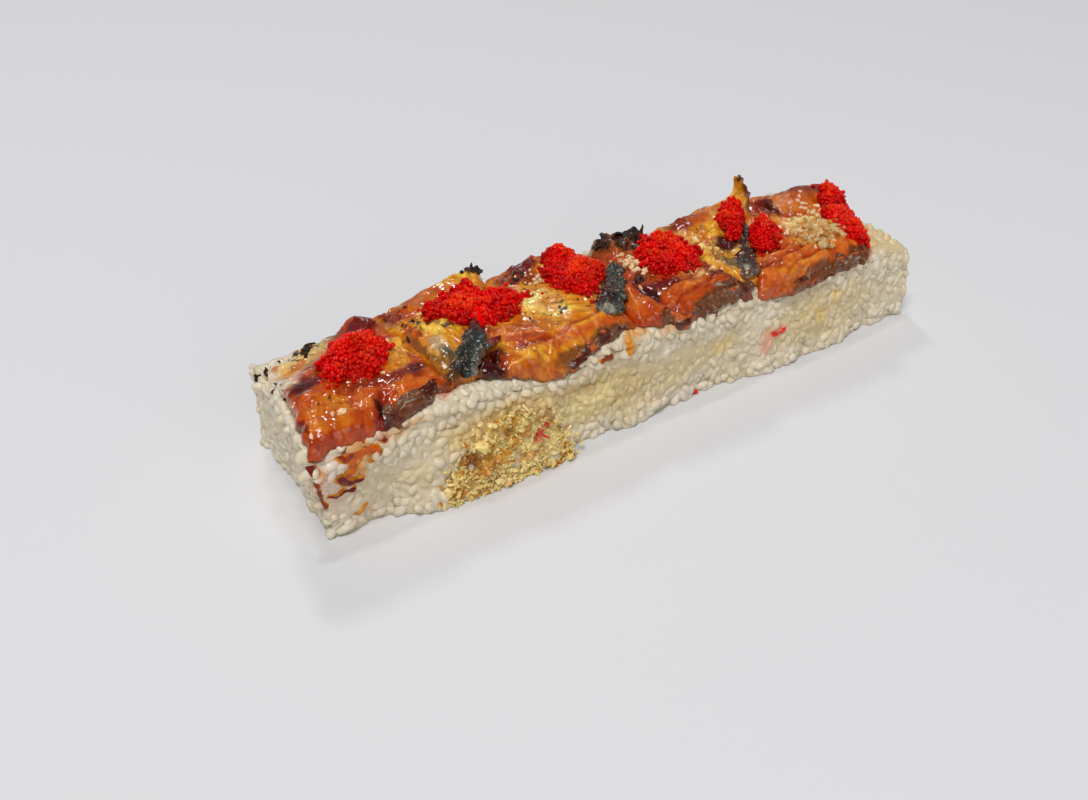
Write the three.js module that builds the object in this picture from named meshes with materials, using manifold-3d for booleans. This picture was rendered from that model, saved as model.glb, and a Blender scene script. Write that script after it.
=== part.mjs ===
// A pressed log of sushi rice with a crumb filling in its front, topped with six glazed
// slices of seared eel, three folds of dark skin, seven heaps of red roe and chopped nuts.
// Millimetres, +Z up. The origin is the middle of the log's flat base, +X runs along the
// log and -Y is its front.
import * as THREE from "three";
import { mergeVertices } from "three/addons/utils/BufferGeometryUtils.js";
import Module from "manifold-3d";

const wasm = await Module();
wasm.setup();

// Driving dimensions of the rice log
const LOG_LENGTH = 220;
const LOG_WIDTH = 58.8;
const LEFT_END_SKEW = 4; // the near corner of the left end stands this much further out
const LEFT_END_LEAN = 7.5; // and leans out by this much more at the top
const RIGHT_TOP_ROUND = 3; // how far the right end draws in at its top
const RIGHT_ROUND_BAND = [18, 30]; // the heights over which it does so
const SHOULDER = 4; // radius of the long top edges
const STEEPEST = 0.99; // share of that radius at which the edge stops, short of vertical
const SIDE_SHARE = 0.86; // share of the height that the straight part of a side takes
const RICE_RELIEF = 1; // height of the bumps that stand for the pressed grains
const RELIEF_SIZE = 2.2; // width of those bumps
// Height of the rice along its front and back top edges, as [x, z]
const RICE_FRONT = [[-120, 33], [-98, 32.4], [-60, 32.6], [-40, 30.6], [-18, 32], [10, 30.8],
  [30, 31], [52, 29.4], [72, 30.4], [90, 29.6], [110, 27.6]];
const RICE_BACK = [[-120, 26.6], [-84, 28], [-45, 30], [-10, 29.4], [40, 29], [84, 30], [110, 27]];
const CROSS_FALL = [-12, 26]; // the rice top falls from front to back height between these y
// How far the front face stands out near its foot, as [x, mm], and the heights over which
// that dies away
const FRONT_FOOT = [[-116, -2.6], [-93, -2.4], [-86, 0.2], [-80, 2], [-50, 2.2], [-40, 2], [-36, -1],
  [-20, -0.4], [28, -0.2], [42, 2], [58, 1.8], [72, 1.3], [90, 0.2], [110, 0]];
const FOOT_BAND = [10, 26];

// Rice grains
const GRAIN = new THREE.Vector3(6.2, 2.9, 2.7);
const GRAIN_PROUD = 0.05; // share of its thickness that a grain's middle stands out of the face

// Eel slices
const GAP = 0.32; // clearance that each piece is cut to around what it touches
const SEAT = 0.5; // clearance between the rice and the eel
const SIDE_GAP = 0.27; // what each slice draws in from the line it shares with the next
const RIM_HEIGHT = 0.7; // height of a slice's thin edge over its seat
const RIM_SHARPNESS = 5; // how boxy a slice is: the power in its fall towards its rim
const LEAST_BODY = 0.8; // least thickness over that rim
const SLICE_STEP = 3.6; // width of the strips that a slice's faces are made of
const SLICE_ROWS = 11; // strips from a slice's front to its back
const FRONT_EDGE = [[-120, -29], [-98, -29.2], [-86, -27.6], [-74, -24.6], [-64, -25], [-57, -27],
  [-45, -29.6], [-38, -30], [-30, -28.8], [-18, -27.2], [-10, -25.8], [0, -28.4], [10, -29.6],
  [25, -28.8], [40, -29.4], [52, -30.8], [66, -30.4], [85, -29.8], [94, -27]];
const BACK_EDGE = [[-112, 20], [-90, 23], [-60, 25.5], [-30, 24.5], [0, 24], [40, 22], [74, 22],
  [90, 19], [110, 12]];
// Lines that bound the slices from left to right, each as [y, x] from front to back
const BORDERS = [
  [[-30, -119], [-20, -116.6], [-13, -115], [-6, -113], [10, -111.5], [25, -108.5]],
  [[-30, -76.5], [-24, -73.5], [0, -73.4], [26, -72.6]],
  [[-30, -57], [-20, -58], [-12, -56], [-5, -50.5], [5, -44], [12, -38.5], [20, -33.5], [27, -31]],
  [[-30, -9.5], [-22, -9], [-14, -5.5], [-6, 0.5], [2, 4.5], [10, 7], [25, 9.5]],
  [[-30, 37], [-26, 36], [-20, 34.5], [-10, 33.5], [0, 34], [25, 34.5]],
  [[-30, 38.5], [-26, 40.5], [-22, 45], [-14, 51.5], [-5, 58], [5, 64], [14, 69.5], [25, 74]],
  [[-30, 88], [-25, 91], [-18, 94], [-10, 98], [0, 105], [8, 108.5], [20, 107]],
];
// Each slice has a crown thickness and may have a front limit for y, where its tip stops
// short. Swells thicken it and curls lift it off the rice, each as [x, y, half-width x,
// half-width y, height].
const SLICES = [
  {
    crown: 4.6,
    swells: [[-84, -21, 9, 6, 1.4], [-78, 15, 8, 7, 2], [-112, -12, 4, 12, 0.8],
      [-90, -25, 3, 7, -1.6], [-108, 9, 8, 9, -2.4]],
    curls: [[-75, 21, 9, 8, 2.6]],
  },
  {
    crown: 4.0,
    swells: [[-48, 19, 15, 8, 3.4], [-69, 4, 5, 9, 1.6], [-63, -1, 4, 7, 1.4], [-66, -22, 7, 7, -1.4]],
    curls: [[-37, 25, 9, 8, 5], [-54, 26, 8, 7, 1.6]],
  },
  {
    crown: 4.8,
    swells: [[-46, -20, 10, 7, 1.4], [-24, -23, 15, 3.5, 1.2], [-14, 19, 11, 8, 3],
      [-28, 2, 8, 10, 0.6], [-30, -29, 12, 3, -0.8]],
    curls: [[-11, 25, 9, 7, 1.6]],
  },
  {
    crown: 4.8,
    swells: [[10, -21, 10, 7, 1.6], [15, 16.5, 4, 4, 1.6], [22, 16, 4, 3.4, 1.8],
      [4, -26, 2.5, 8, -1.2], [28, -22, 8, 6, 0.8]],
    curls: [[15, 22, 4, 6, 2], [24, 21, 4, 6, 2]],
  },
  {
    crown: 4.2,
    front: -25.5,
    swells: [[49, 15, 11, 8, 3.8], [63, 14, 7, 8, 2.4], [47, -6, 7, 6, -1.2]],
    curls: [[62, 20, 9, 8, 1.4]],
  },
  {
    crown: 4.8,
    swells: [[54, -24, 11, 6, 1], [94, 8, 13, 7, 4.6], [104, 0, 6, 6, 2], [73, 1, 2.6, 12, -1.6],
      [76, -17, 11, 8, -1]],
    curls: [[107, 1, 7, 8, 4.4]],
  },
];
// Leaves that stand up at the back of slices 4 and 5, each with the y of its middle and its
// outline as [x, z]: the first burnt and ragged, the second the slice's curled corner
const LEAVES = [
  {
    slice: 4, y: 20, thickness: 2, curved: false,
    outline: [[11, 33], [11.5, 35], [14, 37.2], [16.5, 36.8], [19, 37.8], [22, 37], [24.5, 38],
      [28.6, 37.9], [28.2, 34], [27.8, 31.4]],
  },
  {
    slice: 5, y: 16, thickness: 2.4, curved: true,
    outline: [[56, 33], [56.5, 37.6], [61.9, 38.7], [65.4, 40], [67.4, 41.8], [67.6, 46.5],
      [68.6, 47.3], [70.8, 45.1], [72.6, 42.6], [73.4, 40.6], [73, 38.5], [72, 33]],
  },
];

// Folds of skin over the joins: [x, y, half-width, height over what is beneath]
const FOLDS = [
  [[-69, -25.6, 2.2, 1.2], [-66, -21.8, 3.8, 2], [-61.8, -17, 4.4, 2.4], [-57.6, -12.2, 3.6, 2.4],
    [-53.4, -6.4, 2, 2.8], [-50, -1.6, 1.4, 3.6], [-48, 1.2, 1.4, 4.2]],
  [[-17.5, -23, 3.8, 1.6], [-13, -18, 4.8, 2], [-7, -11.5, 4.6, 2.4], [-1, -5, 4.4, 2.8],
    [3.5, 0.5, 4.2, 2.8], [7, 5, 3.2, 2]],
  [[36, -24.5, 2.6, 0.8], [39.5, -21, 4.4, 1.2], [44.5, -16, 4.6, 1.4], [49.5, -10.5, 2.8, 1.6],
    [54.6, -5, 1.7, 1.3], [59.5, 0, 1.5, 1.4], [63.5, 4.4, 1.3, 1.6]],
];
// Outline of a fold across its line: [share of the half-width, share of the height]
const FOLD_SECTION = [[-1, 0.1], [-0.5, 0], [0.5, 0], [1, 0.1], [0.72, 0.55], [0.2, 1], [-0.15, 0.62],
  [-0.7, 0.5]];
const FOLD_STATIONS = 9;

// Roe heaps: [x, y, half-length, half-width, turn in degrees, height]
const ROE_HEAPS = [
  [-90.3, -1.2, 13.6, 9.8, 62, 4.8],
  [-47, 4.4, 14, 10.6, -16, 4.8],
  [-11, 4.5, 14.2, 9.4, 66, 5],
  [23.2, -0.8, 14.2, 9.4, 61, 5],
  [58.4, 5.8, 8.8, 4.4, 50, 4.8],
  [61.2, -7.2, 10.2, 4.8, 56, 4.6],
  [94.4, -11.2, 18.4, 6.2, 62, 4],
];
const ROE_BUMP = 2.5; // size of the bumps that stand for the clustered eggs
const ROE_BUMP_HEIGHT = 1.1;
const HEAP_UNEVENNESS = 0.13; // share by which a heap's outline strays from an ellipse
const HEAP_FLATNESS = 2.4; // the power in a heap's fall towards its rim
const HEAP_RIM = 0.9; // height of a heap's rim
const REST_REACH = 2.2; // how far around a place the highest ground bears a heap or fold

// Chopped nuts: the heap's [x, y, half-length, half-width, turn, height] and the scattered
// bits as [x, y, size]
const NUT_HEAP = [76.6, -17.6, 11, 7.6, 20, 2];
const NUT_HEAP_BITS = 9;
const NUT_HEAP_BUMP = 4;
const NUT_HEAP_BUMP_HEIGHT = 0.3;
const NUT_BITS = [[-106, -24, 2.8], [-88.5, -14.5, 2.2], [-78, 2.4, 2.4], [-108.5, 1.5, 2],
  [-14, -9.5, 3], [9, 5, 2.4], [12.5, 8, 2.2], [7.6, -3.5, 2], [10, -6, 2.2], [2, -14, 2.2],
  [13.5, -4, 2], [12.6, 0.5, 2.4], [30, -16.5, 2], [16, -13, 2], [91.5, -2, 2.8], [87, -18.5, 2.6]];
const BIT_RIM = 0.04; // share of a slice's width near its sides where no bit is joined to it

// Crumb filling that shows in the front face and runs into the log. The shares say how much
// narrower it is inside, how lumpy it is and how round its arch is.
const FILLING = {
  x: -59, halfLength: 21, height: 21.5, front: -31.8, depth: 44, pocket: 0.35,
  narrowing: 0.45, lumpiness: 0.14, arch: 0.65, crumbs: 9,
};

// Shared helpers

// Smooth curve through [position, value] pairs, level beyond both ends.
function follow(pairs, at) {
  const last = pairs.length - 1;
  if (at <= pairs[0][0]) return pairs[0][1];
  if (at >= pairs[last][0]) return pairs[last][1];
  const i = pairs.findIndex(([position]) => position >= at) - 1;
  const slope = (a, b) => (pairs[b][1] - pairs[a][1]) / (pairs[b][0] - pairs[a][0]);
  const span = pairs[i + 1][0] - pairs[i][0];
  const t = (at - pairs[i][0]) / span;
  const m0 = slope(Math.max(i - 1, 0), i + 1) * span;
  const m1 = slope(i, Math.min(i + 2, last)) * span;
  const [v0, v1] = [pairs[i][1], pairs[i + 1][1]];
  return v0 * (1 - 3 * t ** 2 + 2 * t ** 3) + v1 * (3 * t ** 2 - 2 * t ** 3)
    + m0 * (t - 2 * t ** 2 + t ** 3) + m1 * (t ** 3 - t ** 2);
}

// Seeded random numbers between two limits, 0 and 1 if none are given.
function makeRandom(seed) {
  const [multiplier, increment, modulus] = [1664525, 1013904223, 2 ** 32];
  let state = seed;
  return (least = 0, most = 1) => {
    state = (state * multiplier + increment) % modulus;
    return least + (most - least) * state / modulus;
  };
}

// Smooth noise from -1 to 1 over lumps of about one unit: each corner of a unit lattice
// holds the fraction of a large sine, and a point takes the eased mean of its corners.
function noise(x, y, z) {
  const cell = [Math.floor(x), Math.floor(y), Math.floor(z)];
  const ease = [x, y, z].map((value, axis) => {
    const t = value - cell[axis];
    return t * t * (3 - 2 * t);
  });
  let sum = 0;
  for (let corner = 0; corner < 8; corner++) {
    const step = [corner & 1, (corner >> 1) & 1, corner >> 2];
    const wave = Math.sin((cell[0] + step[0]) * 127.1 + (cell[1] + step[1]) * 311.7
      + (cell[2] + step[2]) * 74.7) * 43758.5453;
    const weight = step.reduce((product, s, axis) => product * (s ? ease[axis] : 1 - ease[axis]), 1);
    sum += weight * (2 * (wave - Math.floor(wave)) - 1);
  }
  return sum;
}

// Closed solid from points and triangles, turned so that its faces point out.
function solidFrom(points, triangles) {
  let volume = 0;
  for (const [a, b, c] of triangles) {
    const [p, q, r] = [points[a], points[b], points[c]];
    volume += p[0] * (q[1] * r[2] - q[2] * r[1]) - p[1] * (q[0] * r[2] - q[2] * r[0])
      + p[2] * (q[0] * r[1] - q[1] * r[0]);
  }
  const facing = volume < 0 ? triangles.map(([a, b, c]) => [a, c, b]) : triangles;
  return new wasm.Manifold(new wasm.Mesh({
    numProp: 3,
    vertProperties: Float32Array.from(points.flat()),
    triVerts: Uint32Array.from(facing.flat()),
  }));
}

// Solid of a closed three.js geometry.
function solidOf(geometry) {
  const bare = geometry.clone();
  bare.deleteAttribute("normal");
  bare.deleteAttribute("uv");
  const merged = mergeVertices(bare, 1e-3);
  const { array } = merged.attributes.position;
  const inThrees = (list) => (
    Array.from({ length: list.length / 3 }, (_, i) => [...list.slice(3 * i, 3 * i + 3)]));
  return solidFrom(inThrees(array), inThrees(merged.index.array));
}

// Solid skinned over closed rings of points, with a point closing each end.
function loftSolid(rings, startTip, endTip) {
  const count = rings[0].length;
  const points = [...rings.flat(), startTip, endTip];
  const [start, end] = [points.length - 2, points.length - 1];
  const lastRing = (rings.length - 1) * count;
  const triangles = [];
  for (let k = 0; k < count; k++) {
    const next = (k + 1) % count;
    for (let ring = 0; ring < lastRing; ring += count) {
      triangles.push([ring + k, ring + count + k, ring + count + next]);
      triangles.push([ring + k, ring + count + next, ring + next]);
    }
    triangles.push([start, k, next]);
    triangles.push([end, lastRing + next, lastRing + k]);
  }
  return solidFrom(points, triangles);
}

// Solid between an upper and a lower sheet over the unit square that share their rim.
function slabSolid(upper, lower, stepsU, stepsV) {
  const points = [];
  const top = [];
  const bottom = [];
  for (let i = 0; i <= stepsU; i++) {
    top.push([]);
    bottom.push([]);
    for (let j = 0; j <= stepsV; j++) {
      const [u, v] = [i / stepsU, j / stepsV];
      const onRim = i === 0 || j === 0 || i === stepsU || j === stepsV;
      top[i].push(points.push(upper(u, v)) - 1);
      bottom[i].push(onRim ? top[i][j] : points.push(lower(u, v)) - 1);
    }
  }
  const triangles = [];
  for (let i = 0; i < stepsU; i++) {
    for (let j = 0; j < stepsV; j++) {
      const cell = (side) => [side[i][j], side[i + 1][j], side[i + 1][j + 1], side[i][j + 1]];
      const [a, b, c, d] = cell(top);
      triangles.push([a, b, c], [a, c, d]);
      const [e, f, g, h] = cell(bottom);
      const inCorner = (i === 0 && j === stepsV - 1) || (i === stepsU - 1 && j === 0);
      if (inCorner) triangles.push([e, h, f], [f, h, g]);
      else triangles.push([e, g, f], [e, h, g]);
    }
  }
  return solidFrom(points, triangles);
}

// Cuts a solid back wherever it comes within the given shifts of its neighbours.
function clearOf(solid, neighbours, shifts) {
  return neighbours.reduce((rest, neighbour) => shifts.reduce(
    (left, shift) => left.subtract(neighbour.translate(shift)), rest), solid);
}

// The largest single body of a solid, without loose scraps.
function mainBody(solid) {
  return solid.decompose().reduce((best, body) => (body.volume() > best.volume() ? body : best));
}

function meshOf(name, solid, color, roughness) {
  const { vertProperties, triVerts } = solid.getMesh();
  const geometry = new THREE.BufferGeometry();
  geometry.setAttribute("position", new THREE.BufferAttribute(Float32Array.from(vertProperties), 3));
  geometry.setIndex(new THREE.BufferAttribute(Uint32Array.from(triVerts), 1));
  geometry.computeVertexNormals();
  const material = new THREE.MeshStandardMaterial({ color, roughness, metalness: 0 });
  const mesh = new THREE.Mesh(geometry, material);
  mesh.name = name;
  return mesh;
}

// Rice log

// Height of the rice under the eel, with the long top edges rounded.
function riceTop(x, y) {
  const fall = THREE.MathUtils.smoothstep(y, ...CROSS_FALL);
  const height = THREE.MathUtils.lerp(follow(RICE_FRONT, x), follow(RICE_BACK, x), fall);
  const past = Math.min(Math.max(Math.abs(y) - (LOG_WIDTH / 2 - SHOULDER), 0), SHOULDER * STEEPEST);
  return height - SHOULDER + Math.sqrt(SHOULDER ** 2 - past ** 2);
}

// The x of the left end: it stands askew and leans out towards the near top corner.
function leftEnd(y, z) {
  const near = 0.5 - y / LOG_WIDTH;
  return -LOG_LENGTH / 2 + 1 - near * (LEFT_END_SKEW + LEFT_END_LEAN * z / RICE_FRONT[0][1]);
}

function rightEnd(z) {
  return LOG_LENGTH / 2 + 1 - RIGHT_TOP_ROUND * THREE.MathUtils.smoothstep(z, ...RIGHT_ROUND_BAND);
}

function frontFace(x, z) {
  const foot = follow(FRONT_FOOT, x) * (1 - THREE.MathUtils.smoothstep(z, ...FOOT_BAND));
  return -LOG_WIDTH / 2 - foot;
}

// Points round the section as [across -1 to 1, share of the height], from the front foot.
function sectionLoop() {
  const baseSteps = 3;
  const sideSteps = 8;
  const topAcross = [1, 0.955, 0.87, 0.5, 0, -0.5, -0.87, -0.955, -1];
  const loop = [];
  for (let i = 0; i < baseSteps; i++) loop.push([-1 + 2 * i / baseSteps, 0]);
  for (let i = 0; i < sideSteps; i++) loop.push([1, SIDE_SHARE * i / sideSteps]);
  for (const across of topAcross) loop.push([across, 1]);
  for (let i = sideSteps - 1; i > 0; i--) loop.push([-1, SIDE_SHARE * i / sideSteps]);
  return loop;
}

// A point of the rice surface at a share of the length, drawn in to a share of the section.
function ricePoint(share, across, up, inward) {
  const halfWidth = LOG_WIDTH / 2;
  const roughX = THREE.MathUtils.lerp(-LOG_LENGTH / 2, LOG_LENGTH / 2, share);
  const crest = riceTop(roughX, across * halfWidth);
  const middle = crest / 2;
  let z = middle + (crest * up - middle) * inward;
  let y = across * halfWidth;
  const relief = RICE_RELIEF * noise(roughX / RELIEF_SIZE, y / RELIEF_SIZE, z / RELIEF_SIZE);
  if (across === -1) y = frontFace(roughX, z) - relief;
  else if (across === 1) y = halfWidth + relief;
  y *= inward;
  const endRelief = share === 0 || share === 1 ? relief * Math.sign(share - 0.5) : 0;
  const x = THREE.MathUtils.lerp(leftEnd(y, z), rightEnd(z), share) + endRelief;
  if (up === 0 && inward === 1) z = 0;
  return [x, y, z];
}

function riceCore() {
  const loop = sectionLoop();
  const stations = 60;
  const capShares = [0.3, 0.56, 0.8];
  const ring = (share, inward) => loop.map(([across, up]) => ricePoint(share, across, up, inward));
  const rings = capShares.map((inward) => ring(0, inward));
  for (let i = 0; i <= stations; i++) rings.push(ring(i / stations, 1));
  for (const inward of [...capShares].reverse()) rings.push(ring(1, inward));
  return loftSolid(rings, ricePoint(0, 0, 1, 0), ricePoint(1, 0, 1, 0));
}

// A low-sided rice grain lying on a face, turned within it and tipped a little out of it.
function grainSolid(position, outward, turn, tip, size) {
  const geometry = new THREE.SphereGeometry(0.5, 5, 4);
  geometry.scale(GRAIN.y * size, GRAIN.x * size, GRAIN.z * size);
  geometry.rotateX(tip);
  geometry.rotateZ(turn);
  const up = new THREE.Vector3(0, 0, 1);
  geometry.applyQuaternion(new THREE.Quaternion().setFromUnitVectors(up, outward));
  geometry.translate(...position);
  return solidOf(geometry);
}

// Grains spread evenly over one face: a jittered row-and-column rule with seeded draws.
function faceGrains({ columns, rows, place, outward, seed }) {
  const random = makeRandom(seed);
  const grains = [];
  for (let column = 0; column < columns; column++) {
    for (let row = 0; row < rows; row++) {
      const stagger = 0.3 * (column % 2);
      const u = (column + random(0.2, 0.8)) / columns;
      const v = (row + stagger + random(0.1, 0.6)) / rows;
      const size = random(0.85, 1.15);
      const turn = random(0, Math.PI);
      const tip = random(-0.18, 0.18);
      const point = new THREE.Vector3(...place(u, v));
      point.addScaledVector(outward, GRAIN_PROUD * GRAIN.z * size);
      grains.push(grainSolid(point.toArray(), outward, turn, tip, size));
    }
  }
  return grains;
}

// The loose grains that make the log's foot and ends uneven.
function riceGrains() {
  const [front, back] = [new THREE.Vector3(0, -1, 0), new THREE.Vector3(0, 1, 0)];
  const [left, right] = [new THREE.Vector3(-1, -0.1, 0).normalize(), new THREE.Vector3(1, 0, 0)];
  const lerp = THREE.MathUtils.lerp;
  const onFront = (x, z) => [x, frontFace(x, z), z];
  return [
    ...faceGrains({ columns: 12, rows: 1, outward: front, seed: 11,
      place: (u, v) => onFront(lerp(-113, 110, u), lerp(1, 5, v)) }),
    ...faceGrains({ columns: 6, rows: 1, outward: front, seed: 17,
      place: (u, v) => onFront(lerp(-112, 108, u), lerp(10, 26, v)) }),
    ...faceGrains({ columns: 6, rows: 1, outward: back, seed: 23,
      place: (u, v) => [lerp(-108, 109, u), LOG_WIDTH / 2, lerp(1, 22, v)] }),
    ...faceGrains({ columns: 3, rows: 2, outward: left, seed: 37, place: (u, v) => {
      const [y, z] = [lerp(-27, 28, u), lerp(1, 24, v)];
      return [leftEnd(y, z), y, z];
    } }),
    ...faceGrains({ columns: 4, rows: 1, outward: right, seed: 41, place: (u, v) => {
      const [y, z] = [lerp(-28, 28, u), lerp(1, 25, v)];
      return [rightEnd(z), y, z];
    } }),
    ...faceGrains({ columns: 1, rows: 2, outward: new THREE.Vector3(0, 0, 1), seed: 53, place: (u, v) => {
      const [x, y] = [lerp(103, 108, u), lerp(-27, -2, v)];
      return [x, y, riceTop(x, y)];
    } }),
  ];
}

// The grain that stands up in front of the join between slices 2 and 3.
function standingGrain() {
  return grainSolid([-56, -28.9, 34], new THREE.Vector3(0, -1, 0), 0.1, 0, 1.25);
}

// Crumb filling: a lumpy bar with a flat foot, narrowing as it runs into the log.
function fillingCore(grow) {
  const stations = 5;
  const around = 18;
  const below = -2; // how far its foot reaches under the base, where it is cut off
  const { x, halfLength, height, front, depth, narrowing, lumpiness, arch } = FILLING;
  const outline = (station, scale) => {
    const outwards = grow * ((station === stations) - (station === 0));
    const y = front + depth * station / stations + outwards;
    return Array.from({ length: around }, (_, k) => {
      const angle = 2 * Math.PI * k / around;
      const lump = noise(3 * Math.cos(angle) + 9, 3 * Math.sin(angle), 0.7 * station);
      const share = (1 - narrowing * station / stations) * scale * (1 + lumpiness * lump);
      const half = halfLength * share + grow;
      const rise = height * (1 - arch + arch * Math.abs(Math.sin(angle))) * share + grow;
      return [x + half * Math.cos(angle), y, Math.max(rise * Math.sin(angle), below)];
    });
  };
  const crumbled = (scale) => outline(0, scale).map(([px, y, z]) => (
    [px, y - 0.8 - 1.3 * noise(px / 2.6, 4, z / 2.6), z]));
  const rings = [0.35, 0.68, 0.9].map(crumbled);
  for (let station = 0; station <= stations; station++) rings.push(outline(station, 1));
  const middle = 6;
  return loftSolid(rings, [x, front - 1 - grow, middle], [x, front + depth + grow, middle]);
}

// The filling with large crumbs on its face, spread along it by the golden ratio.
function fillingSolid() {
  const random = makeRandom(71);
  const { x, halfLength, height, front, crumbs: count } = FILLING;
  const [goldenShare, spread, rise] = [0.618, 0.77, 0.85];
  const crumbs = Array.from({ length: count }, (_, i) => {
    const size = random(1.5, 2.8);
    const crumb = new THREE.IcosahedronGeometry(size, 0);
    crumb.rotateX(random(0, Math.PI));
    crumb.rotateZ(random(0, Math.PI));
    const across = spread * (2 * ((i * goldenShare) % 1) - 1);
    const up = random(0.08, 0.88) * Math.sqrt(1 - across ** 2);
    const z = Math.max(up * height * rise, size);
    crumb.translate(x + across * halfLength, front - 0.2 * size, z);
    return solidOf(crumb);
  });
  return wasm.Manifold.union([fillingCore(0), ...crumbs]);
}

// Eel slices

// The left and right x of a slice at a y, and its front and back y at an x.
const sidesOf = (slice, y) => [follow(slice.left, y) + SIDE_GAP, follow(slice.right, y) - SIDE_GAP];
const endsOf = (slice, x) => [
  Math.max(follow(FRONT_EDGE, x), slice.front ?? -LOG_WIDTH), follow(BACK_EDGE, x)];

// Shares across and along a slice at which a place lies.
function inSlice(slice, x, y) {
  const [left, right] = sidesOf(slice, y);
  const [front, back] = endsOf(slice, x);
  return [(x - left) / (right - left), (y - front) / (back - front)];
}

// Where a slice's (u, v) lies in plan, found by settling x and y on its four edges.
function slicePlan(slice, u, v) {
  const rounds = 12;
  let x = 0;
  let y = THREE.MathUtils.lerp(-27, 22, v);
  for (let round = 0; round < rounds; round++) {
    x = THREE.MathUtils.lerp(...sidesOf(slice, y), u);
    y = THREE.MathUtils.lerp(...endsOf(slice, x), v);
  }
  return [x, y];
}

// Sum of smooth mounds, each [x, y, half-width x, half-width y, height].
function mounds(list, x, y) {
  return list.reduce((sum, [mx, my, rx, ry, height]) => (
    sum + height * Math.exp(-(((x - mx) / rx) ** 2) - ((y - my) / ry) ** 2)), 0);
}

// Height of a slice's upper face: its crown and swells, falling to a thin edge all round.
function sliceTop(slice, x, y, u, v) {
  const rise = (t) => Math.sqrt(Math.max(1 - Math.abs(2 * t - 1) ** RIM_SHARPNESS, 0));
  const wrinkle = 0.35 * noise(x / 5, y / 5, 3);
  const thickness = slice.crown + mounds(slice.swells, x, y) + wrinkle - RIM_HEIGHT;
  return sliceSeat(slice, x, y) + RIM_HEIGHT + rise(u) * rise(v) * Math.max(thickness, LEAST_BODY);
}

// Height of a slice's lower face: it lies on the rice and curls up where it is lifted.
function sliceSeat(slice, x, y) {
  return riceTop(x, y) + SEAT + mounds(slice.curls, x, y);
}

function sliceSlab(slice) {
  const upper = (u, v) => {
    const [x, y] = slicePlan(slice, u, v);
    return [x, y, sliceTop(slice, x, y, u, v)];
  };
  const lower = (u, v) => {
    const [x, y] = slicePlan(slice, u, v);
    return [x, y, sliceSeat(slice, x, y)];
  };
  return slabSolid(upper, lower, slice.steps, SLICE_ROWS);
}

// A thin leaf that stands across the log, cut to its outline.
function leafSolid({ y, thickness, curved, outline }) {
  const corners = outline.map(([x, z]) => new THREE.Vector2(x, z));
  const curveSteps = 18;
  const points = curved ? new THREE.SplineCurve(corners).getPoints(curveSteps) : corners;
  const extrusion = { depth: thickness, bevelEnabled: false };
  const leaf = new THREE.ExtrudeGeometry(new THREE.Shape(points), extrusion);
  leaf.rotateX(Math.PI / 2);
  leaf.translate(0, y + thickness / 2, 0);
  return solidOf(leaf);
}

// Highest face of the slices at a place, or the bare rice.
function eelTop(x, y) {
  return slices.reduce((height, slice) => {
    const [u, v] = inSlice(slice, x, y);
    const inside = u >= 0 && u <= 1 && v >= 0 && v <= 1;
    return inside ? Math.max(height, sliceTop(slice, x, y, u, v)) : height;
  }, riceTop(x, y));
}

// Height at which something broad rests on the slices, over the dips between them.
function restTop(x, y) {
  const around = [[0, 0], [REST_REACH, 0], [-REST_REACH, 0], [0, REST_REACH], [0, -REST_REACH]];
  return Math.max(...around.map(([dx, dy]) => eelTop(x + dx, y + dy))) + SEAT;
}

// A chopped bit of nut, a flattened octahedron turned at random.
function nutBit(x, y, z, size, random) {
  const bit = new THREE.OctahedronGeometry(size / 2, 0);
  bit.scale(1, 0.8, 0.75);
  bit.rotateX(random(0, Math.PI));
  bit.rotateZ(random(0, Math.PI));
  bit.translate(x, y, z);
  return solidOf(bit);
}

// Skin folds, roe and nuts

// A fold of skin: a low roof-shaped strip that follows a line over a join.
function foldSolid(line) {
  const coordinate = (axis) => line.map((point, i) => [i / (line.length - 1), point[axis]]);
  const [xs, ys, widths, heights] = [0, 1, 2, 3].map(coordinate);
  const ring = (station) => {
    const t = station / FOLD_STATIONS;
    const [x, y, width, height] = [xs, ys, widths, heights].map((pairs) => follow(pairs, t));
    const [ahead, step] = [Math.min(t + 0.01, 1), 0.02];
    const slope = (pairs) => follow(pairs, ahead) - follow(pairs, ahead - step);
    const heading = Math.atan2(slope(ys), slope(xs));
    return FOLD_SECTION.map(([across, up]) => {
      const px = x - Math.sin(heading) * across * width;
      const py = y + Math.cos(heading) * across * width;
      return [px, py, restTop(x, y) + up * height];
    });
  };
  const rings = Array.from({ length: FOLD_STATIONS + 1 }, (_, station) => ring(station));
  const tipOf = (points) => points[0].map((_, axis) => (
    points.reduce((sum, point) => sum + point[axis], 0) / points.length));
  return loftSolid(rings, tipOf(rings[0]), tipOf(rings[FOLD_STATIONS]));
}

// A place in a heap's own frame, moved to where the heap lies.
function inHeap([x, y, , , turnDegrees], along, across) {
  const turn = THREE.MathUtils.degToRad(turnDegrees);
  return [x + along * Math.cos(turn) - across * Math.sin(turn),
    y + along * Math.sin(turn) + across * Math.cos(turn)];
}

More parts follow.
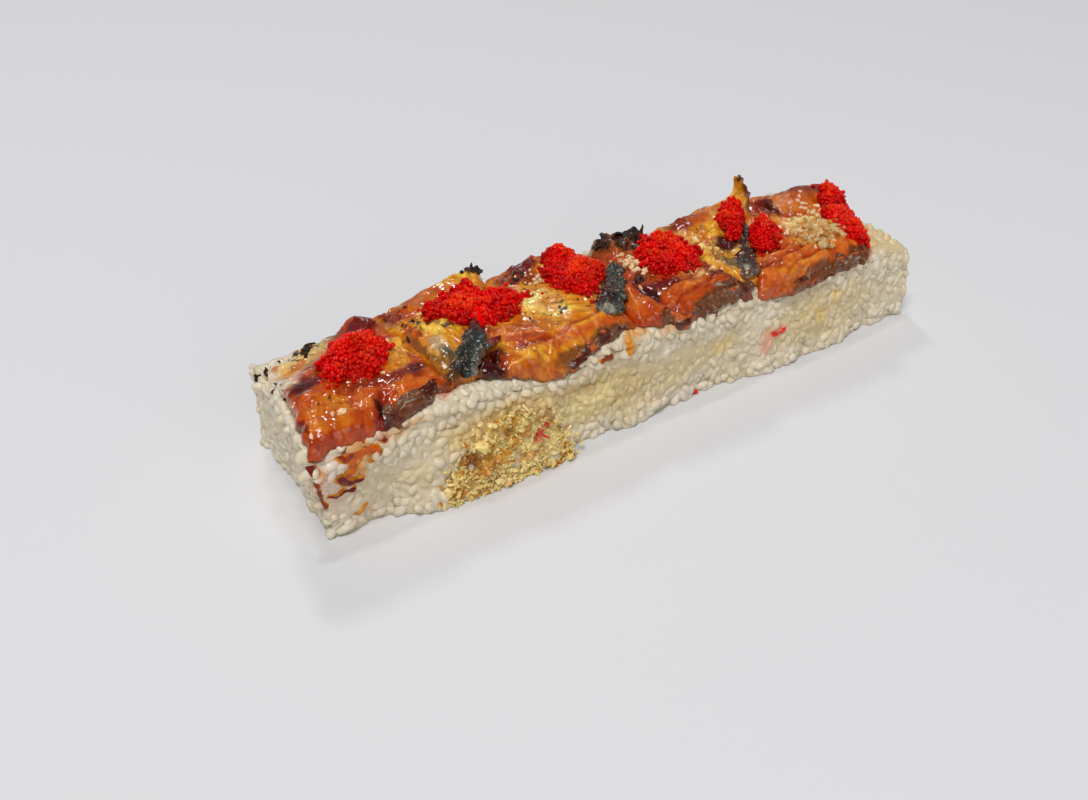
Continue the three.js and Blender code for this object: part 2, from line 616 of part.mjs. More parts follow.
// A heap with an uneven outline: a dome of egg-sized bumps over a face that follows what
// it lies on.
function heapSolid(heap, bump, bumpHeight) {
  const [x, y, halfLength, halfWidth, , height] = heap;
  const around = Math.round(Math.PI * (halfLength + halfWidth) / bump / 1.35);
  const topRings = Math.max(Math.round((halfLength + halfWidth) / 2 / bump), 3);
  const ring = (share, rise) => Array.from({ length: around }, (_, k) => {
    const angle = 2 * Math.PI * k / around;
    const wander = noise(2 * Math.cos(angle) + x, 2 * Math.sin(angle), y);
    const reach = share * (1 + HEAP_UNEVENNESS * wander);
    const [along, across] = [halfLength * reach * Math.cos(angle), halfWidth * reach * Math.sin(angle)];
    const [px, py] = inHeap(heap, along, across);
    return [px, py, restTop(px, py) + rise(px, py, k)];
  });
  const dome = (share) => (px, py, k) => {
    const clumps = 0.8 + 0.3 * noise(px / 5, py / 5, 8);
    const bumps = bumpHeight * noise(0.9 * px, 0.9 * py, k);
    return Math.max(height * Math.sqrt(1 - share ** HEAP_FLATNESS) * clumps + bumps, HEAP_RIM / 2);
  };
  const rings = [];
  for (let i = 1; i < topRings; i++) rings.push(ring(i / topRings, dome(i / topRings)));
  rings.push(ring(1, () => HEAP_RIM));
  for (const share of [0.9, 0.5]) rings.push(ring(share, () => 0));
  return loftSolid(rings, [x, y, restTop(x, y) + height], [x, y, restTop(x, y)]);
}

// The heap of nuts, with large bits spread over it by the golden angle.
function nutHeapSolid() {
  const random = makeRandom(97);
  const [, , halfLength, halfWidth, , height] = NUT_HEAP;
  const [goldenAngle, outermost, sunk] = [2.4, 0.86, 0.8];
  const bits = Array.from({ length: NUT_HEAP_BITS }, (_, i) => {
    const radius = outermost * Math.sqrt((i + 0.5) / NUT_HEAP_BITS);
    const angle = i * goldenAngle;
    const [px, py] = inHeap(
      NUT_HEAP, halfLength * radius * Math.cos(angle), halfWidth * radius * Math.sin(angle));
    const rise = height * Math.sqrt(1 - radius ** HEAP_FLATNESS) * sunk + 0.5;
    return nutBit(px, py, restTop(px, py) + rise, random(3, 4.6), random);
  });
  return wasm.Manifold.union([heapSolid(NUT_HEAP, NUT_HEAP_BUMP, NUT_HEAP_BUMP_HEIGHT), ...bits]);
}

// The whole: each solid is cut clear of what it lies on, and the rice of what it carries
const slices = SLICES.map((slice, i) => {
  const [left, right] = [BORDERS[i], BORDERS[i + 1]];
  const width = follow(right, 10) - follow(left, 10);
  return { ...slice, left, right, steps: Math.round(width / SLICE_STEP) };
});

const [above, below] = [[0, 0, GAP], [0, 0, -GAP]];
const alongLog = [[GAP, 0, 0], [-GAP, 0, 0]];
const sideways = [...alongLog, [0, GAP, 0], [0, -GAP, 0]];
const slabs = slices.map(sliceSlab);
for (const leaf of LEAVES) slabs[leaf.slice - 1] = slabs[leaf.slice - 1].add(leafSolid(leaf));
slabs[4] = clearOf(slabs[4], [slabs[3], slabs[5]], alongLog);

const folds = FOLDS.map((line) => mainBody(clearOf(foldSolid(line), slabs, [above])));

const nutRandom = makeRandom(5);
const dressed = slabs.map((slab, i) => {
  const bits = NUT_BITS.filter(([x, y]) => {
    const [u, v] = inSlice(slices[i], x, y);
    return u > BIT_RIM && u < 1 - BIT_RIM && v > 0 && v < 1;
  }).map(([x, y, size]) => nutBit(x, y, eelTop(x, y) + 0.1, size, nutRandom));
  return mainBody(clearOf(wasm.Manifold.union([slab, ...bits]), folds, [[0, 0, 0], ...sideways, below]));
});

const heaps = ROE_HEAPS.map((heap) => {
  const besideFolds = clearOf(heapSolid(heap, ROE_BUMP, ROE_BUMP_HEIGHT), folds, [above, ...sideways]);
  return mainBody(clearOf(besideFolds, dressed, [above]));
});
const nutHeap = mainBody(clearOf(clearOf(nutHeapSolid(), dressed, [above]), heaps, sideways));

const belowBase = new THREE.BoxGeometry(2 * LOG_LENGTH, 2 * LOG_WIDTH, 10);
belowBase.translate(0, 0, -5);
const filling = fillingSolid().subtract(solidOf(belowBase));
const pressed = wasm.Manifold.union([riceCore(), ...riceGrains(), standingGrain()]);
const hollowed = clearOf(pressed, [fillingCore(FILLING.pocket), solidOf(belowBase), filling], [[0, 0, 0]]);
const rice = mainBody(clearOf(hollowed, [...dressed, ...heaps], [below, [0, GAP, 0]]));

const group = new THREE.Group();
group.add(meshOf("rice_block", rice, 0xe9e4d8, 0.45));
group.add(meshOf("crumb_filling", mainBody(filling), 0xdcc48c, 0.7));
dressed.forEach((solid, i) => group.add(meshOf(`eel_slice_${i + 1}`, solid, 0xb5541f, 0.22)));
folds.forEach((solid, i) => group.add(meshOf(`skin_fold_${i + 1}`, solid, 0x4b5654, 0.3)));
heaps.forEach((solid, i) => group.add(meshOf(`roe_heap_${i + 1}`, solid, 0xd81405, 0.25)));
group.add(meshOf("nut_heap", nutHeap, 0xd9bf8e, 0.6));

export default group;
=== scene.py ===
"""Looks of an aburi eel sushi: a pressed rice log with a crumb filling in its front, six
glazed slices of seared eel on top, folds of dark skin, seven heaps of red roe and chopped
nuts.

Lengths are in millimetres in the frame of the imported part: the origin is the middle of the
log's flat base, +X runs along the log, -Y is its front and +Z is up. They become metres
when a mesh is made.
"""

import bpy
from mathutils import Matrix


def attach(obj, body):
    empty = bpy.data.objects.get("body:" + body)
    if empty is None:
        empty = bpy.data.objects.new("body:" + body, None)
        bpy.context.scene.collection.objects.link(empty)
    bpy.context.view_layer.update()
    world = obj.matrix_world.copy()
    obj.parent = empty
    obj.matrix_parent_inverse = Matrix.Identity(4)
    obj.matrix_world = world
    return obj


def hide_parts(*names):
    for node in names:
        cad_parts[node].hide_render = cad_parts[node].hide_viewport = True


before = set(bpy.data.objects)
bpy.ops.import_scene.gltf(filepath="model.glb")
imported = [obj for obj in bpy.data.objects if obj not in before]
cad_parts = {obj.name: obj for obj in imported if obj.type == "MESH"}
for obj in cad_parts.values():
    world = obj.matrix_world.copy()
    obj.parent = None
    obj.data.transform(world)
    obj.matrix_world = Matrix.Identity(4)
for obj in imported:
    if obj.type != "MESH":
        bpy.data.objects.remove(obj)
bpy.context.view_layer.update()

import logging
from dataclasses import dataclass
from enum import Enum
from typing import Iterable, Iterator, Sequence

import bpy
import numpy as np
from mathutils import Matrix

LOG = logging.getLogger("aburi_eel_sushi")

Array = np.ndarray
Pairs = Sequence[tuple[float, float]]
Socket = bpy.types.NodeSocket

MM = 0.001
ROOT = "root"
GOLDEN_ANGLE = 2.39996
FLOOR_CLEARANCE = 0.02  # height of the lowest scattered points
LATTICE = np.array([[127.1, 311.7, 74.7], [269.5, 183.3, 246.1], [113.5, 271.9, 124.6]])
SINE_REACH = 43758.5453


class Tone(Enum):
    """Colours of the dish in soft daylight, in display red, green and blue."""

    RICE = (220, 208, 184)
    RICE_WARM = (208, 180, 118)
    RICE_PINK = (228, 200, 188)
    CRUMB = (222, 184, 92)
    CRUMB_PALE = (234, 212, 148)
    TOAST = (146, 80, 20)
    AMBER = (190, 84, 16)
    ORANGE = (206, 108, 36)
    GOLD = (212, 136, 26)
    YELLOW = (228, 174, 62)
    CREAM = (226, 194, 120)
    PEACH = (198, 118, 66)
    DUSK = (150, 70, 52)
    RUST = (140, 48, 14)
    MAROON = (112, 16, 10)
    WINE = (66, 6, 4)
    BROWN = (104, 54, 24)
    SKIN = (112, 78, 54)
    SLATE = (48, 52, 48)
    # Pale skin specks and streaks; also painted highlights on the wet skin of two folds.
    SILVER_SPECK_AND_GLINT = (164, 160, 140)
    CHAR = (24, 17, 12)
    ROE = (236, 2, 0)
    # The next tone is the roe's orange, also laid on the heaps' high eggs as a painted highlight; the one
    # after is its deep red, also laid on the low eggs as painted shade.
    ROE_ORANGE_AND_HIGHLIGHT = (255, 70, 8)
    ROE_DEEP_RED_AND_SHADE = (150, 2, 2)
    NUT = (224, 192, 132)
    NUT_PINK = (236, 196, 164)
    CRAB = (222, 36, 16)
    FLOOR = (218, 218, 220)

    @property
    def linear(self) -> Array:
        """The colour in the linear scale in which shaders mix."""
        share = np.array(self.value) / 255
        return np.where(share <= 0.04045, share / 12.92, ((share + 0.055) / 1.055) ** 2.4)


(RICE, RICE_WARM, RICE_PINK, CRUMB, CRUMB_PALE, TOAST, AMBER, ORANGE, GOLD, YELLOW, CREAM, PEACH, DUSK,
 RUST, MAROON, WINE, BROWN, SKIN, SLATE, SILVER_SPECK_AND_GLINT, CHAR, ROE, ROE_ORANGE_AND_HIGHLIGHT, ROE_DEEP_RED_AND_SHADE, NUT, NUT_PINK, CRAB,
 FLOOR) = Tone


def follow(pairs: Pairs, at: Array) -> Array:
    """Smooth curve through (position, value) pairs, level beyond both ends.

    Between two knots it is the cubic that meets both values with slopes taken from each
    knot's neighbours.

    Args:
        pairs: The knots in rising order of position.
        at: Where the curve is read.

    Returns:
        The curve's value at each place.
    """
    places, values = np.asarray(pairs, float).T
    slopes = np.gradient(values, places) if len(places) < 3 else np.concatenate([
        [(values[1] - values[0]) / (places[1] - places[0])],
        (values[2:] - values[:-2]) / (places[2:] - places[:-2]),
        [(values[-1] - values[-2]) / (places[-1] - places[-2])],
    ])
    at = np.clip(at, places[0], places[-1])
    i = np.clip(np.searchsorted(places, at) - 1, 0, len(places) - 2)
    span = places[i + 1] - places[i]
    t = (at - places[i]) / span
    return (values[i] * (1 - 3 * t**2 + 2 * t**3) + values[i + 1] * (3 * t**2 - 2 * t**3)
            + slopes[i] * span * (t - 2 * t**2 + t**3) + slopes[i + 1] * span * (t**3 - t**2))


def along_knots(rows: Sequence[tuple[float, ...]], share: Array) -> list[Array]:
    """Each column of the rows as a smooth curve over a share from 0 to 1, with the knots spread evenly."""
    knots = np.array(rows)
    places = np.linspace(0, 1, len(knots))
    return [follow(np.stack([places, column], -1), share) for column in knots.T]


def points_of(x: Array, y: Array, z: Array) -> Array:
    """Points from their coordinates, each an array or one number."""
    return np.stack(np.broadcast_arrays(x, y, z), -1)


def raised(plan: Array, height: Array) -> Array:
    """Points over places in plan, with a height for each."""
    return np.concatenate([plan, height[..., None]], -1)


def ease(value: Array, low: float, high: float) -> Array:
    """Rises from 0 at low to 1 at high with level ends: 3t^2 - 2t^3."""
    t = np.clip((value - low) / (high - low), 0, 1)
    return t * t * (3 - 2 * t)


def drawn(cells: Array, key: Array) -> Array:
    """Fixed numbers from 0 to 1 for lattice cells: the fraction of a large sine of cells times key."""
    wave = np.sin(cells @ key) * SINE_REACH
    return wave - np.floor(wave)


def noise(x: Array, y: Array, z: Array) -> Array:
    """Smooth noise from -1 to 1 with lumps about one unit wide.

    Each corner of a unit lattice holds a fixed number, and a point takes the mean of its
    eight corners, weighted by 3t^2 - 2t^3 along each axis.

    Args:
        x, y, z: The coordinates, in lumps.

    Returns:
        The noise at each place.
    """
    place = points_of(x, y, z).astype(float)
    cell = np.floor(place)
    t = place - cell
    t = t * t * (3 - 2 * t)
    total = np.zeros(place.shape[:-1])
    for corner in np.ndindex(2, 2, 2):
        weight = np.prod(np.where(corner[::-1], t, 1 - t), axis=-1)
        total += weight * (2 * drawn(cell + corner[::-1], LATTICE[0]) - 1)
    return total


def lumps(points: Array, size: float, seed: float = 0.0) -> Array:
    """Noise over points in millimetres, with lumps of the given size."""
    place = points / size + seed * 7.31
    return noise(place[..., 0], place[..., 1], place[..., 2])


def rough(points: Array, size: float, seed: float = 0.0, octaves: int = 3) -> Array:
    """Noise summed over octaves, each half the size and half the height of the last."""
    return sum(lumps(points, size / 2**k, seed + k) / 2**k for k in range(octaves))


def pebbles(points: Array, size: float, seed: float = 0.0) -> Array:
    """Domes packed side by side: 1 at a dome's middle, falling to 0 between domes.

    Each cube of a lattice holds one jittered centre. A point takes the least distance d to
    the centres of its own and the 26 cubes round it, and its height is 1 - d^2.

    Args:
        points: Places in millimetres.
        size: Distance between domes.
        seed: Changes the packing.

    Returns:
        The height of the domes at each place.
    """
    place = points / size + seed * 5.17
    cell = np.floor(place)
    least = np.full(place.shape[:-1], np.inf)
    for shift in np.ndindex(3, 3, 3):
        near = cell + shift - 1
        centre = near + 0.15 + 0.7 * drawn(near, LATTICE.T)
        least = np.minimum(least, ((place - centre) ** 2).sum(-1))
    return np.clip(1 - least, 0, 1)


def mounds(places: Sequence[tuple[float, ...]], x: Array, y: Array) -> Array:
    """Sum of bell-shaped mounds, each (x, y, half-width x, half-width y, height)."""
    total = np.zeros(np.broadcast(x, y).shape)
    for mx, my, rx, ry, height in places:
        total += height * np.exp(-(((x - mx) / rx) ** 2) - ((y - my) / ry) ** 2)
    return total


def stretches(plan: Array, line: Sequence[tuple[float, ...]]) -> Iterator[tuple[Array, Array]]:
    """The straight stretches of a line, as seen from places in plan.

    Args:
        plan: The places.
        line: The line's knots, each its x and y and any further measures.

    Yields:
        For one stretch, the distance from each place, and the knots' numbers where it is
        measured.
    """
    knots = np.asarray(line, float)
    for start, end in zip(knots[:-1], knots[1:]):
        along = (end - start)[:2]
        share = np.clip(((plan - start[:2]) @ along) / (along @ along), 0, 1)[..., None]
        gap = plan - start[:2] - share * along
        yield np.hypot(gap[..., 0], gap[..., 1]), start + share * (end - start)


def distance_to_line(plan: Array, line: Pairs) -> Array:
    """Distance in plan from each place to a line of straight stretches."""
    return np.min([gap for gap, _ in stretches(plan, line)], axis=0)


def unit(vectors: Array) -> Array:
    """Vectors scaled to a length of one."""
    return vectors / np.maximum(np.linalg.norm(vectors, axis=-1, keepdims=True), 1e-9)


def turned(plan: Array, degrees: float) -> Array:
    """Plan vectors turned about the origin."""
    cos, sin = np.cos(np.radians(degrees)), np.sin(np.radians(degrees))
    x, y = plan[..., 0], plan[..., 1]
    return np.stack([x * cos - y * sin, x * sin + y * cos], -1)


@dataclass(frozen=True)
class Patch:
    """A ragged field of one colour, an ellipse in plan or on a face."""

    tone: Tone
    x: float
    y: float
    reach_x: float
    reach_y: float
    strength: float = 1.0
    turn: float = 0.0

    def cover(self, places: Array) -> Array:
        """Share of the patch's colour at each place: whole inside, fading at its rim."""
        near = turned(places - np.array([self.x, self.y]), -self.turn)
        radius = np.hypot(near[..., 0] / self.reach_x, near[..., 1] / self.reach_y)
        return self.strength * (1 - ease(radius, 0.5, 1.2))


def fields(*rows: tuple) -> tuple[Patch, ...]:
    """Patches from rows of (tone, x, y, reach x, reach y, strength, turn)."""
    return tuple(Patch(*row) for row in rows)


def paint(colour: Array, patches: Iterable[Patch], places: Array, points: Array) -> Array:
    """Lays patches over a colour field, one after the other.

    The places are first pushed about by noise with lumps of 5 and 1.7 mm, which makes the
    patches' rims ragged. Each patch then mixes its colour in by its cover.

    Args:
        colour: The field so far, one linear colour for each place.
        patches: What is laid over it.
        places: The two coordinates that the patches are given in.
        points: The same places in space, which the noise is read at.

    Returns:
        The colour field with the patches on it.
    """
    push = np.stack([1.5 * lumps(points, 5, seed) + 0.7 * lumps(points, 1.7, seed) for seed in (3, 8)], -1)
    for patch in patches:
        colour = laid(colour, patch.tone, patch.cover(places + push))
    return colour


def added(name: str, data: bpy.types.ID) -> bpy.types.Object:
    """A new object of the scene, at the origin."""
    thing = bpy.data.objects.new(name, data)
    bpy.context.scene.collection.objects.link(thing)
    return thing


@dataclass
class Shell:
    """Triangles over points, with a colour and a wetness at each point."""

    points: Array
    triangles: Array
    tint: Array
    wet: Array

    @staticmethod
    def of(points: Array, triangles: Array, tint: Array, wet: float | Array) -> "Shell":
        """A closed shell that faces outwards.

        It holds a positive volume: a sixth of the sum of each triangle's triple product.

        Args:
            points: Its points.
            triangles: Its triangles, whose order is reversed where the sum is negative.
            tint: Its colour, of one row or of a row for each point.
            wet: Its wetness, of one number or of a number for each point.

        Returns:
            The shell.
        """
        a, b, c = (points[triangles[:, k]] for k in range(3))
        if np.einsum("ij,ij->", a, np.cross(b, c)) < 0:
            triangles = triangles[:, ::-1]
        count = len(points)
        return Shell(points, triangles, np.broadcast_to(tint, (count, 3)), np.broadcast_to(wet, count))

    def object(
        self, name: str, finish: "Finish", slot: str, stands_for: str = "", smooth: bool = True
    ) -> None:
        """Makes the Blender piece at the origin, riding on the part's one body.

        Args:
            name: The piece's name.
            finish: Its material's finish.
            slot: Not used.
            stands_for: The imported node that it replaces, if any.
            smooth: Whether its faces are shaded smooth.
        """
        mesh = bpy.data.meshes.new(name)
        mesh.from_pydata((self.points * MM).tolist(), [], self.triangles.tolist())
        mesh.polygons.foreach_set("use_smooth", np.full(len(self.triangles), smooth))
        colours = np.insert(np.clip(self.tint, 0, 1), 3, 1.0, axis=1).astype(np.float32)
        mesh.attributes.new("Tint", "FLOAT_COLOR", "POINT").data.foreach_set("color", colours.ravel())
        wetness = np.clip(self.wet, 0, 1).astype(np.float32)
        mesh.attributes.new("Wet", "FLOAT", "POINT").data.foreach_set("value", wetness)
        mesh.materials.append(finish.material())
        mesh.update()
        piece = added(name, mesh)
        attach(piece, ROOT)
        if stands_for:
            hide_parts(stands_for)
        LOG.info("%s: %d triangles", name, len(self.triangles))


def joined(shells: Sequence[Shell]) -> Shell:
    """Several shells as one, each with its own points."""
    starts = np.cumsum([0] + [len(shell.points) for shell in shells[:-1]])
    parts = ((shell.points, shell.triangles + start, shell.tint, shell.wet)
             for shell, start in zip(shells, starts))
    return Shell(*(np.concatenate(part) for part in zip(*parts)))


def loft_triangles(rings: int, around: int) -> Array:
    """Triangles of closed rings in a row, with a point before the first and after the last.

    Ring r's point k has the number r * around + k, and the two end points follow.

    Args:
        rings: How many rings there are.
        around: How many points a ring has.

    Returns:
        The triangles' point numbers.
    """
    ring, k = np.meshgrid(np.arange(rings - 1), np.arange(around), indexing="ij")
    following = (k + 1) % around
    a, b = ring * around + k, ring * around + following
    sides = np.concatenate([np.stack([a, b, b + around], -1), np.stack([a, b + around, a + around], -1)])
    k = np.arange(around)
    following = (k + 1) % around
    last = (rings - 1) * around
    start, end = rings * around, rings * around + 1
    first_fan = np.stack([np.full(around, start), following, k], -1)
    last_fan = np.stack([np.full(around, end), last + k, last + following], -1)
    return np.concatenate([sides.reshape(-1, 3), first_fan, last_fan])


def loft(rings: Array) -> tuple[Array, Array]:
    """Skin over closed rings of points, closed at the middle of its end rings.

    Args:
        rings: Points as (ring, place round it, coordinate).

    Returns:
        The points in one list, and the triangles.
    """
    tips = np.stack([rings[0].mean(0), rings[-1].mean(0)])
    points = np.concatenate([rings.reshape(-1, 3), tips])
    return points, loft_triangles(rings.shape[0], rings.shape[1])


def slab(upper: Array, lower: Array) -> tuple[Array, Array, Array]:
    """Closed skin of an upper and a lower sheet that share their rim.

    Each square is split along the diagonal that points at the middle of the sheet, so that
    no corner is covered twice.

    Args:
        upper: Points as (row, column, coordinate).
        lower: The same for the lower sheet, whose rim isn't used.

    Returns:
        The points, the triangles, and for each point its number in upper then lower.
    """
    rows, columns = upper.shape[:2]
    top = np.arange(rows * columns).reshape(rows, columns)
    bottom = top + rows * columns
    for edge in (np.s_[0, :], np.s_[-1, :], np.s_[:, 0], np.s_[:, -1]):
        bottom[edge] = top[edge]
    i, j = np.meshgrid(np.arange(rows - 1), np.arange(columns - 1), indexing="ij")
    straight = ((i < rows / 2 - 0.5) == (j < columns / 2 - 0.5))[..., None]
    sheets = []
    for side, reverse in ((top, False), (bottom, True)):
        a, b, c, d = side[:-1, :-1], side[1:, :-1], side[1:, 1:], side[:-1, 1:]
        first = np.where(straight, np.stack([a, b, c], -1), np.stack([a, b, d], -1)).reshape(-1, 3)
        second = np.where(straight, np.stack([a, c, d], -1), np.stack([b, c, d], -1)).reshape(-1, 3)
        both = np.concatenate([first, second])
        sheets.append(both[:, ::-1] if reverse else both)
    used, triangles = np.unique(np.concatenate(sheets), return_inverse=True)
    points = np.concatenate([upper.reshape(-1, 3), lower.reshape(-1, 3)])[used]
    return points, triangles.reshape(-1, 3), used


def sheet_normals(sheet: Array) -> Array:
    """Unit normals of a grid of points, from the steps along its rows and columns."""
    return unit(np.cross(np.gradient(sheet, axis=0), np.gradient(sheet, axis=1)))


def lozenge(around: int, bands: int, fullness: float) -> tuple[Array, Array]:
    """A long round body one unit long and wide, along its first axis.

    Its radius at a share s of its half-length is (1 - |s|^fullness)^0.5.

    Args:
        around: Points round each band.
        bands: Rings of points between its two ends.
        fullness: 2 for an ellipse, more for blunter ends.

    Returns:
        The points and the triangles.
    """
    along = -np.cos(np.pi * (np.arange(bands) + 1) / (bands + 1))[:, None]
    radius = np.sqrt(1 - np.abs(along) ** fullness)
    angle = 2 * np.pi * np.arange(around) / around
    rings = points_of(along, radius * np.cos(angle), radius * np.sin(angle)) / 2
    points = np.concatenate([rings.reshape(-1, 3), [[-0.5, 0, 0], [0.5, 0, 0]]])
    return points, loft_triangles(bands, around)


def scattered(
    body: tuple[Array, Array], centres: Array, axes: Array, sizes: Array, tints: Array, wet: float,
    random: np.random.Generator, uneven: float = 0.0,
) -> Shell:
    """Copies of a small body as one shell.

    A copy's point is its centre plus the body's point, stretched by the copy's sizes and
    laid along its three axes.

    Args:
        body: The body's points and triangles.
        centres: Each copy's middle.
        axes: Each copy's long, cross and upward axes, as the rows of a 3 by 3 array.
        sizes: Each copy's length, width and thickness.
        tints: Each copy's linear colour.
        wet: The wetness of all of them.
        random: Draws the unevenness.
        uneven: Share by which each point is drawn in or out.

    Returns:
        The copies in one shell.
    """
    points, triangles = body
    count, each = len(centres), len(points)
    local = points[None] * sizes[:, None] * (1 + uneven * random.uniform(-1, 1, (count, each, 1)))
    placed = centres[:, None] + np.einsum("nki,nij->nkj", local, axes)
    numbers = triangles[None] + each * np.arange(count)[:, None, None]
    return Shell(placed.reshape(-1, 3), numbers.reshape(-1, 3), np.repeat(tints, each, 0),
                 np.full(count * each, wet))


def axes_on(normals: Array, spin: Array, tip: Array) -> Array:
    """Axes for bodies that lie on a surface.

    Args:
        normals: The surface's unit normal under each body.
        spin: How far its long axis is turned within the surface, in radians.
        tip: How far that axis is raised out of the surface, in radians.

    Returns:
        Each body's long, cross and upward axes.
    """
    helper = np.where(np.abs(normals[:, 2:]) > 0.7, [1.0, 0.0, 0.0], [0.0, 0.0, 1.0])
    first = unit(np.cross(helper, normals))
    second = np.cross(normals, first)
    flat = np.cos(spin)[:, None] * first + np.sin(spin)[:, None] * second
    long = np.cos(tip)[:, None] * flat + np.sin(tip)[:, None] * normals
    cross = unit(np.cross(normals, long))
    return np.stack([long, cross, np.cross(long, cross)], 1)


def any_axes(random: np.random.Generator, count: int) -> Array:
    """Axes turned every way."""
    normals = unit(random.normal(size=(count, 3)))
    return axes_on(normals, random.uniform(0, 2 * np.pi, count), np.zeros(count))


def between(first: Array, second: Array, share: Array) -> Array:
    """Linear colours from the first to the second by a share for each point."""
    return first * (1 - share[..., None]) + second * share[..., None]


def laid(colour: Array, tone: Tone, share: Array) -> Array:
    """Linear colours with a share of a tone laid over each."""
    return between(colour, tone.linear, share)


def mixed(first: Tone, second: Tone, share: Array) -> Array:
    """Linear colours between two tones."""
    return between(first.linear, second.linear, share)


class Nodes:
    """The node tree of a material, and short ways to add to it."""

    def __init__(self, material: bpy.types.Material) -> None:
        """Turns the material's nodes on."""
        material.use_nodes = True
        self.tree = material.node_tree

    def fill(self, node: bpy.types.Node, **inputs: Socket | float | Sequence[float]) -> None:
        """Sets a node's inputs, by a link where another node's socket is given.

        Args:
            node: The node.
            inputs: Each input's name, with _ for a space, and what it gets.
        """
        for name, value in inputs.items():
            socket = node.inputs[name.replace("_", " ")]
            if isinstance(value, Socket):
                self.tree.links.new(value, socket)
            else:
                socket.default_value = value

    def add(self, kind: str, output: str, settings: dict[str, str], **inputs: Socket | float) -> Socket:
        """Adds a node.

        Args:
            kind: Its kind, without the words ShaderNode.
            output: The name of the wanted output.
            settings: Its own settings.
            inputs: What its inputs get.

        Returns:
            The wanted output.
        """
        node = self.tree.nodes.new("ShaderNode" + kind)
        for name, value in settings.items():
            setattr(node, name, value)
        self.fill(node, **inputs)
        return node.outputs[output]


@dataclass(frozen=True)
class Finish:
    """How a surface takes light. Its colour and wetness come with the mesh."""

    name: str
    dry: float  # roughness where nothing is wet
    wet: float  # roughness where it is wet through
    cloud: float  # share by which soft clouds vary the colour
    cloud_size: float  # width of the clouds
    grit: float  # depth of the fine relief
    grit_size: float  # width of the fine relief
    glow: float = 0.0  # share of the light that travels inside
    glow_reach: tuple[float, float, float] = (1.0, 0.6, 0.4)
    glow_depth: float = 1.0
    coat: float = 0.0
    coat_roughness: float = 0.1
    speck: Tone | None = None  # colour of scattered specks
    speck_size: float = 1.0
    speck_cover: float = 0.0
    bend: float = 1.5  # how strongly light is bent, which sets the gloss seen face on
    shine: float = 0.5  # level of the gloss under the coat

    def material(self) -> bpy.types.Material:
        """The material, made once and then shared."""
        return bpy.data.materials.get(self.name) or self._build()

    def _build(self) -> bpy.types.Material:
        """Builds the shader: colour from Tint, clouds and specks, gloss from Wet, relief from noise.

        Returns:
            The material.
        """
        material = bpy.data.materials.new(self.name)
        nodes = Nodes(material)
        place = nodes.add("TexCoord", "Object", {})
        tint = nodes.add("Attribute", "Color", {"attribute_name": "Tint"})
        wetness = nodes.add("Attribute", "Fac", {"attribute_name": "Wet"})
        cloud = self._noise(nodes, place, self.cloud_size, 3)
        cloud = self._ranged(nodes, cloud, (0.3, 0.7), (1 - self.cloud, 1 + self.cloud))
        colour = nodes.add("VectorMath", "Vector", {"operation": "SCALE"}, Vector=tint, Scale=cloud)
        if self.speck is not None:
            edge = 0.72 - 0.3 * self.speck_cover
            specks = self._noise(nodes, place, self.speck_size, 1)
            specks = self._ranged(nodes, specks, (edge, edge + 0.05), (0, 0.8))
            colour = nodes.add("Mix", "Result", {"data_type": "RGBA"}, A=colour, B=(*self.speck.linear, 1),
                               Factor=specks)
        gloss = self._ranged(nodes, wetness, (0, 1), (self.dry, self.wet))
        relief = self._noise(nodes, place, self.grit_size, 4)
        normal = nodes.add("Bump", "Normal", {}, Distance=self.grit * MM, Strength=1.0, Height=relief)
        nodes.fill(
            nodes.tree.nodes["Principled BSDF"], Base_Color=colour, Roughness=gloss, Normal=normal,
            IOR=self.bend, Coat_IOR=self.bend, Specular_IOR_Level=self.shine, Coat_Weight=self.coat,
            Coat_Roughness=self.coat_roughness, Subsurface_Weight=self.glow,
            Subsurface_Radius=self.glow_reach, Subsurface_Scale=self.glow_depth * MM,
        )
        return material

    @staticmethod
    def _noise(nodes: Nodes, place: Socket, size: float, detail: float) -> Socket:
        """Noise with features of the given size in millimetres."""
        return nodes.add("TexNoise", "Fac", {}, Scale=1 / (size * MM), Detail=detail, Vector=place)

    @staticmethod
    def _ranged(nodes: Nodes, value: Socket, given: Sequence[float], wanted: Sequence[float]) -> Socket:
        """A value moved from one range to another."""
        return nodes.add("MapRange", "Result", {}, Value=value, From_Min=given[0], From_Max=given[1],
                         To_Min=wanted[0], To_Max=wanted[1])


RICE_FINISH = Finish("cooked_rice", 0.36, 0.2, 0.05, 1.6, 0.04, 0.7, glow=0.2,
                     glow_reach=(1.0, 0.85, 0.6), glow_depth=0.7, bend=1.4)
EEL_FINISH = Finish("glazed_eel", 0.36, 0.12, 0.2, 1.1, 0.02, 0.6, glow=0.12, glow_reach=(1.0, 0.45, 0.2),
                    glow_depth=1.0, coat=0.7, coat_roughness=0.04, bend=1.42, shine=0.2)
SKIN_FINISH = Finish("wet_eel_skin", 0.45, 0.14, 0.35, 0.9, 0.1, 0.6, coat=0.4, coat_roughness=0.08,
                     speck=SILVER_SPECK_AND_GLINT, speck_size=0.8, speck_cover=0.2, bend=1.35, shine=0.3)
ROE_FINISH = Finish("roe_eggs", 0.2, 0.14, 0.1, 0.8, 0.02, 0.5, glow=0.6, glow_reach=(1.0, 0.06, 0.03),
                    glow_depth=1.2, bend=1.33, shine=0.35)
NUT_FINISH = Finish("chopped_nuts", 0.6, 0.3, 0.16, 0.9, 0.05, 0.35, glow=0.2, glow_depth=0.5, shine=0.3)
CHAR_FINISH = Finish("charred_flakes", 0.62, 0.3, 0.3, 0.7, 0.1, 0.4, shine=0.3)
CRUMB_FINISH = Finish("fried_crumbs", 0.6, 0.3, 0.16, 0.8, 0.08, 0.4, glow=0.25, glow_depth=0.6, shine=0.3)
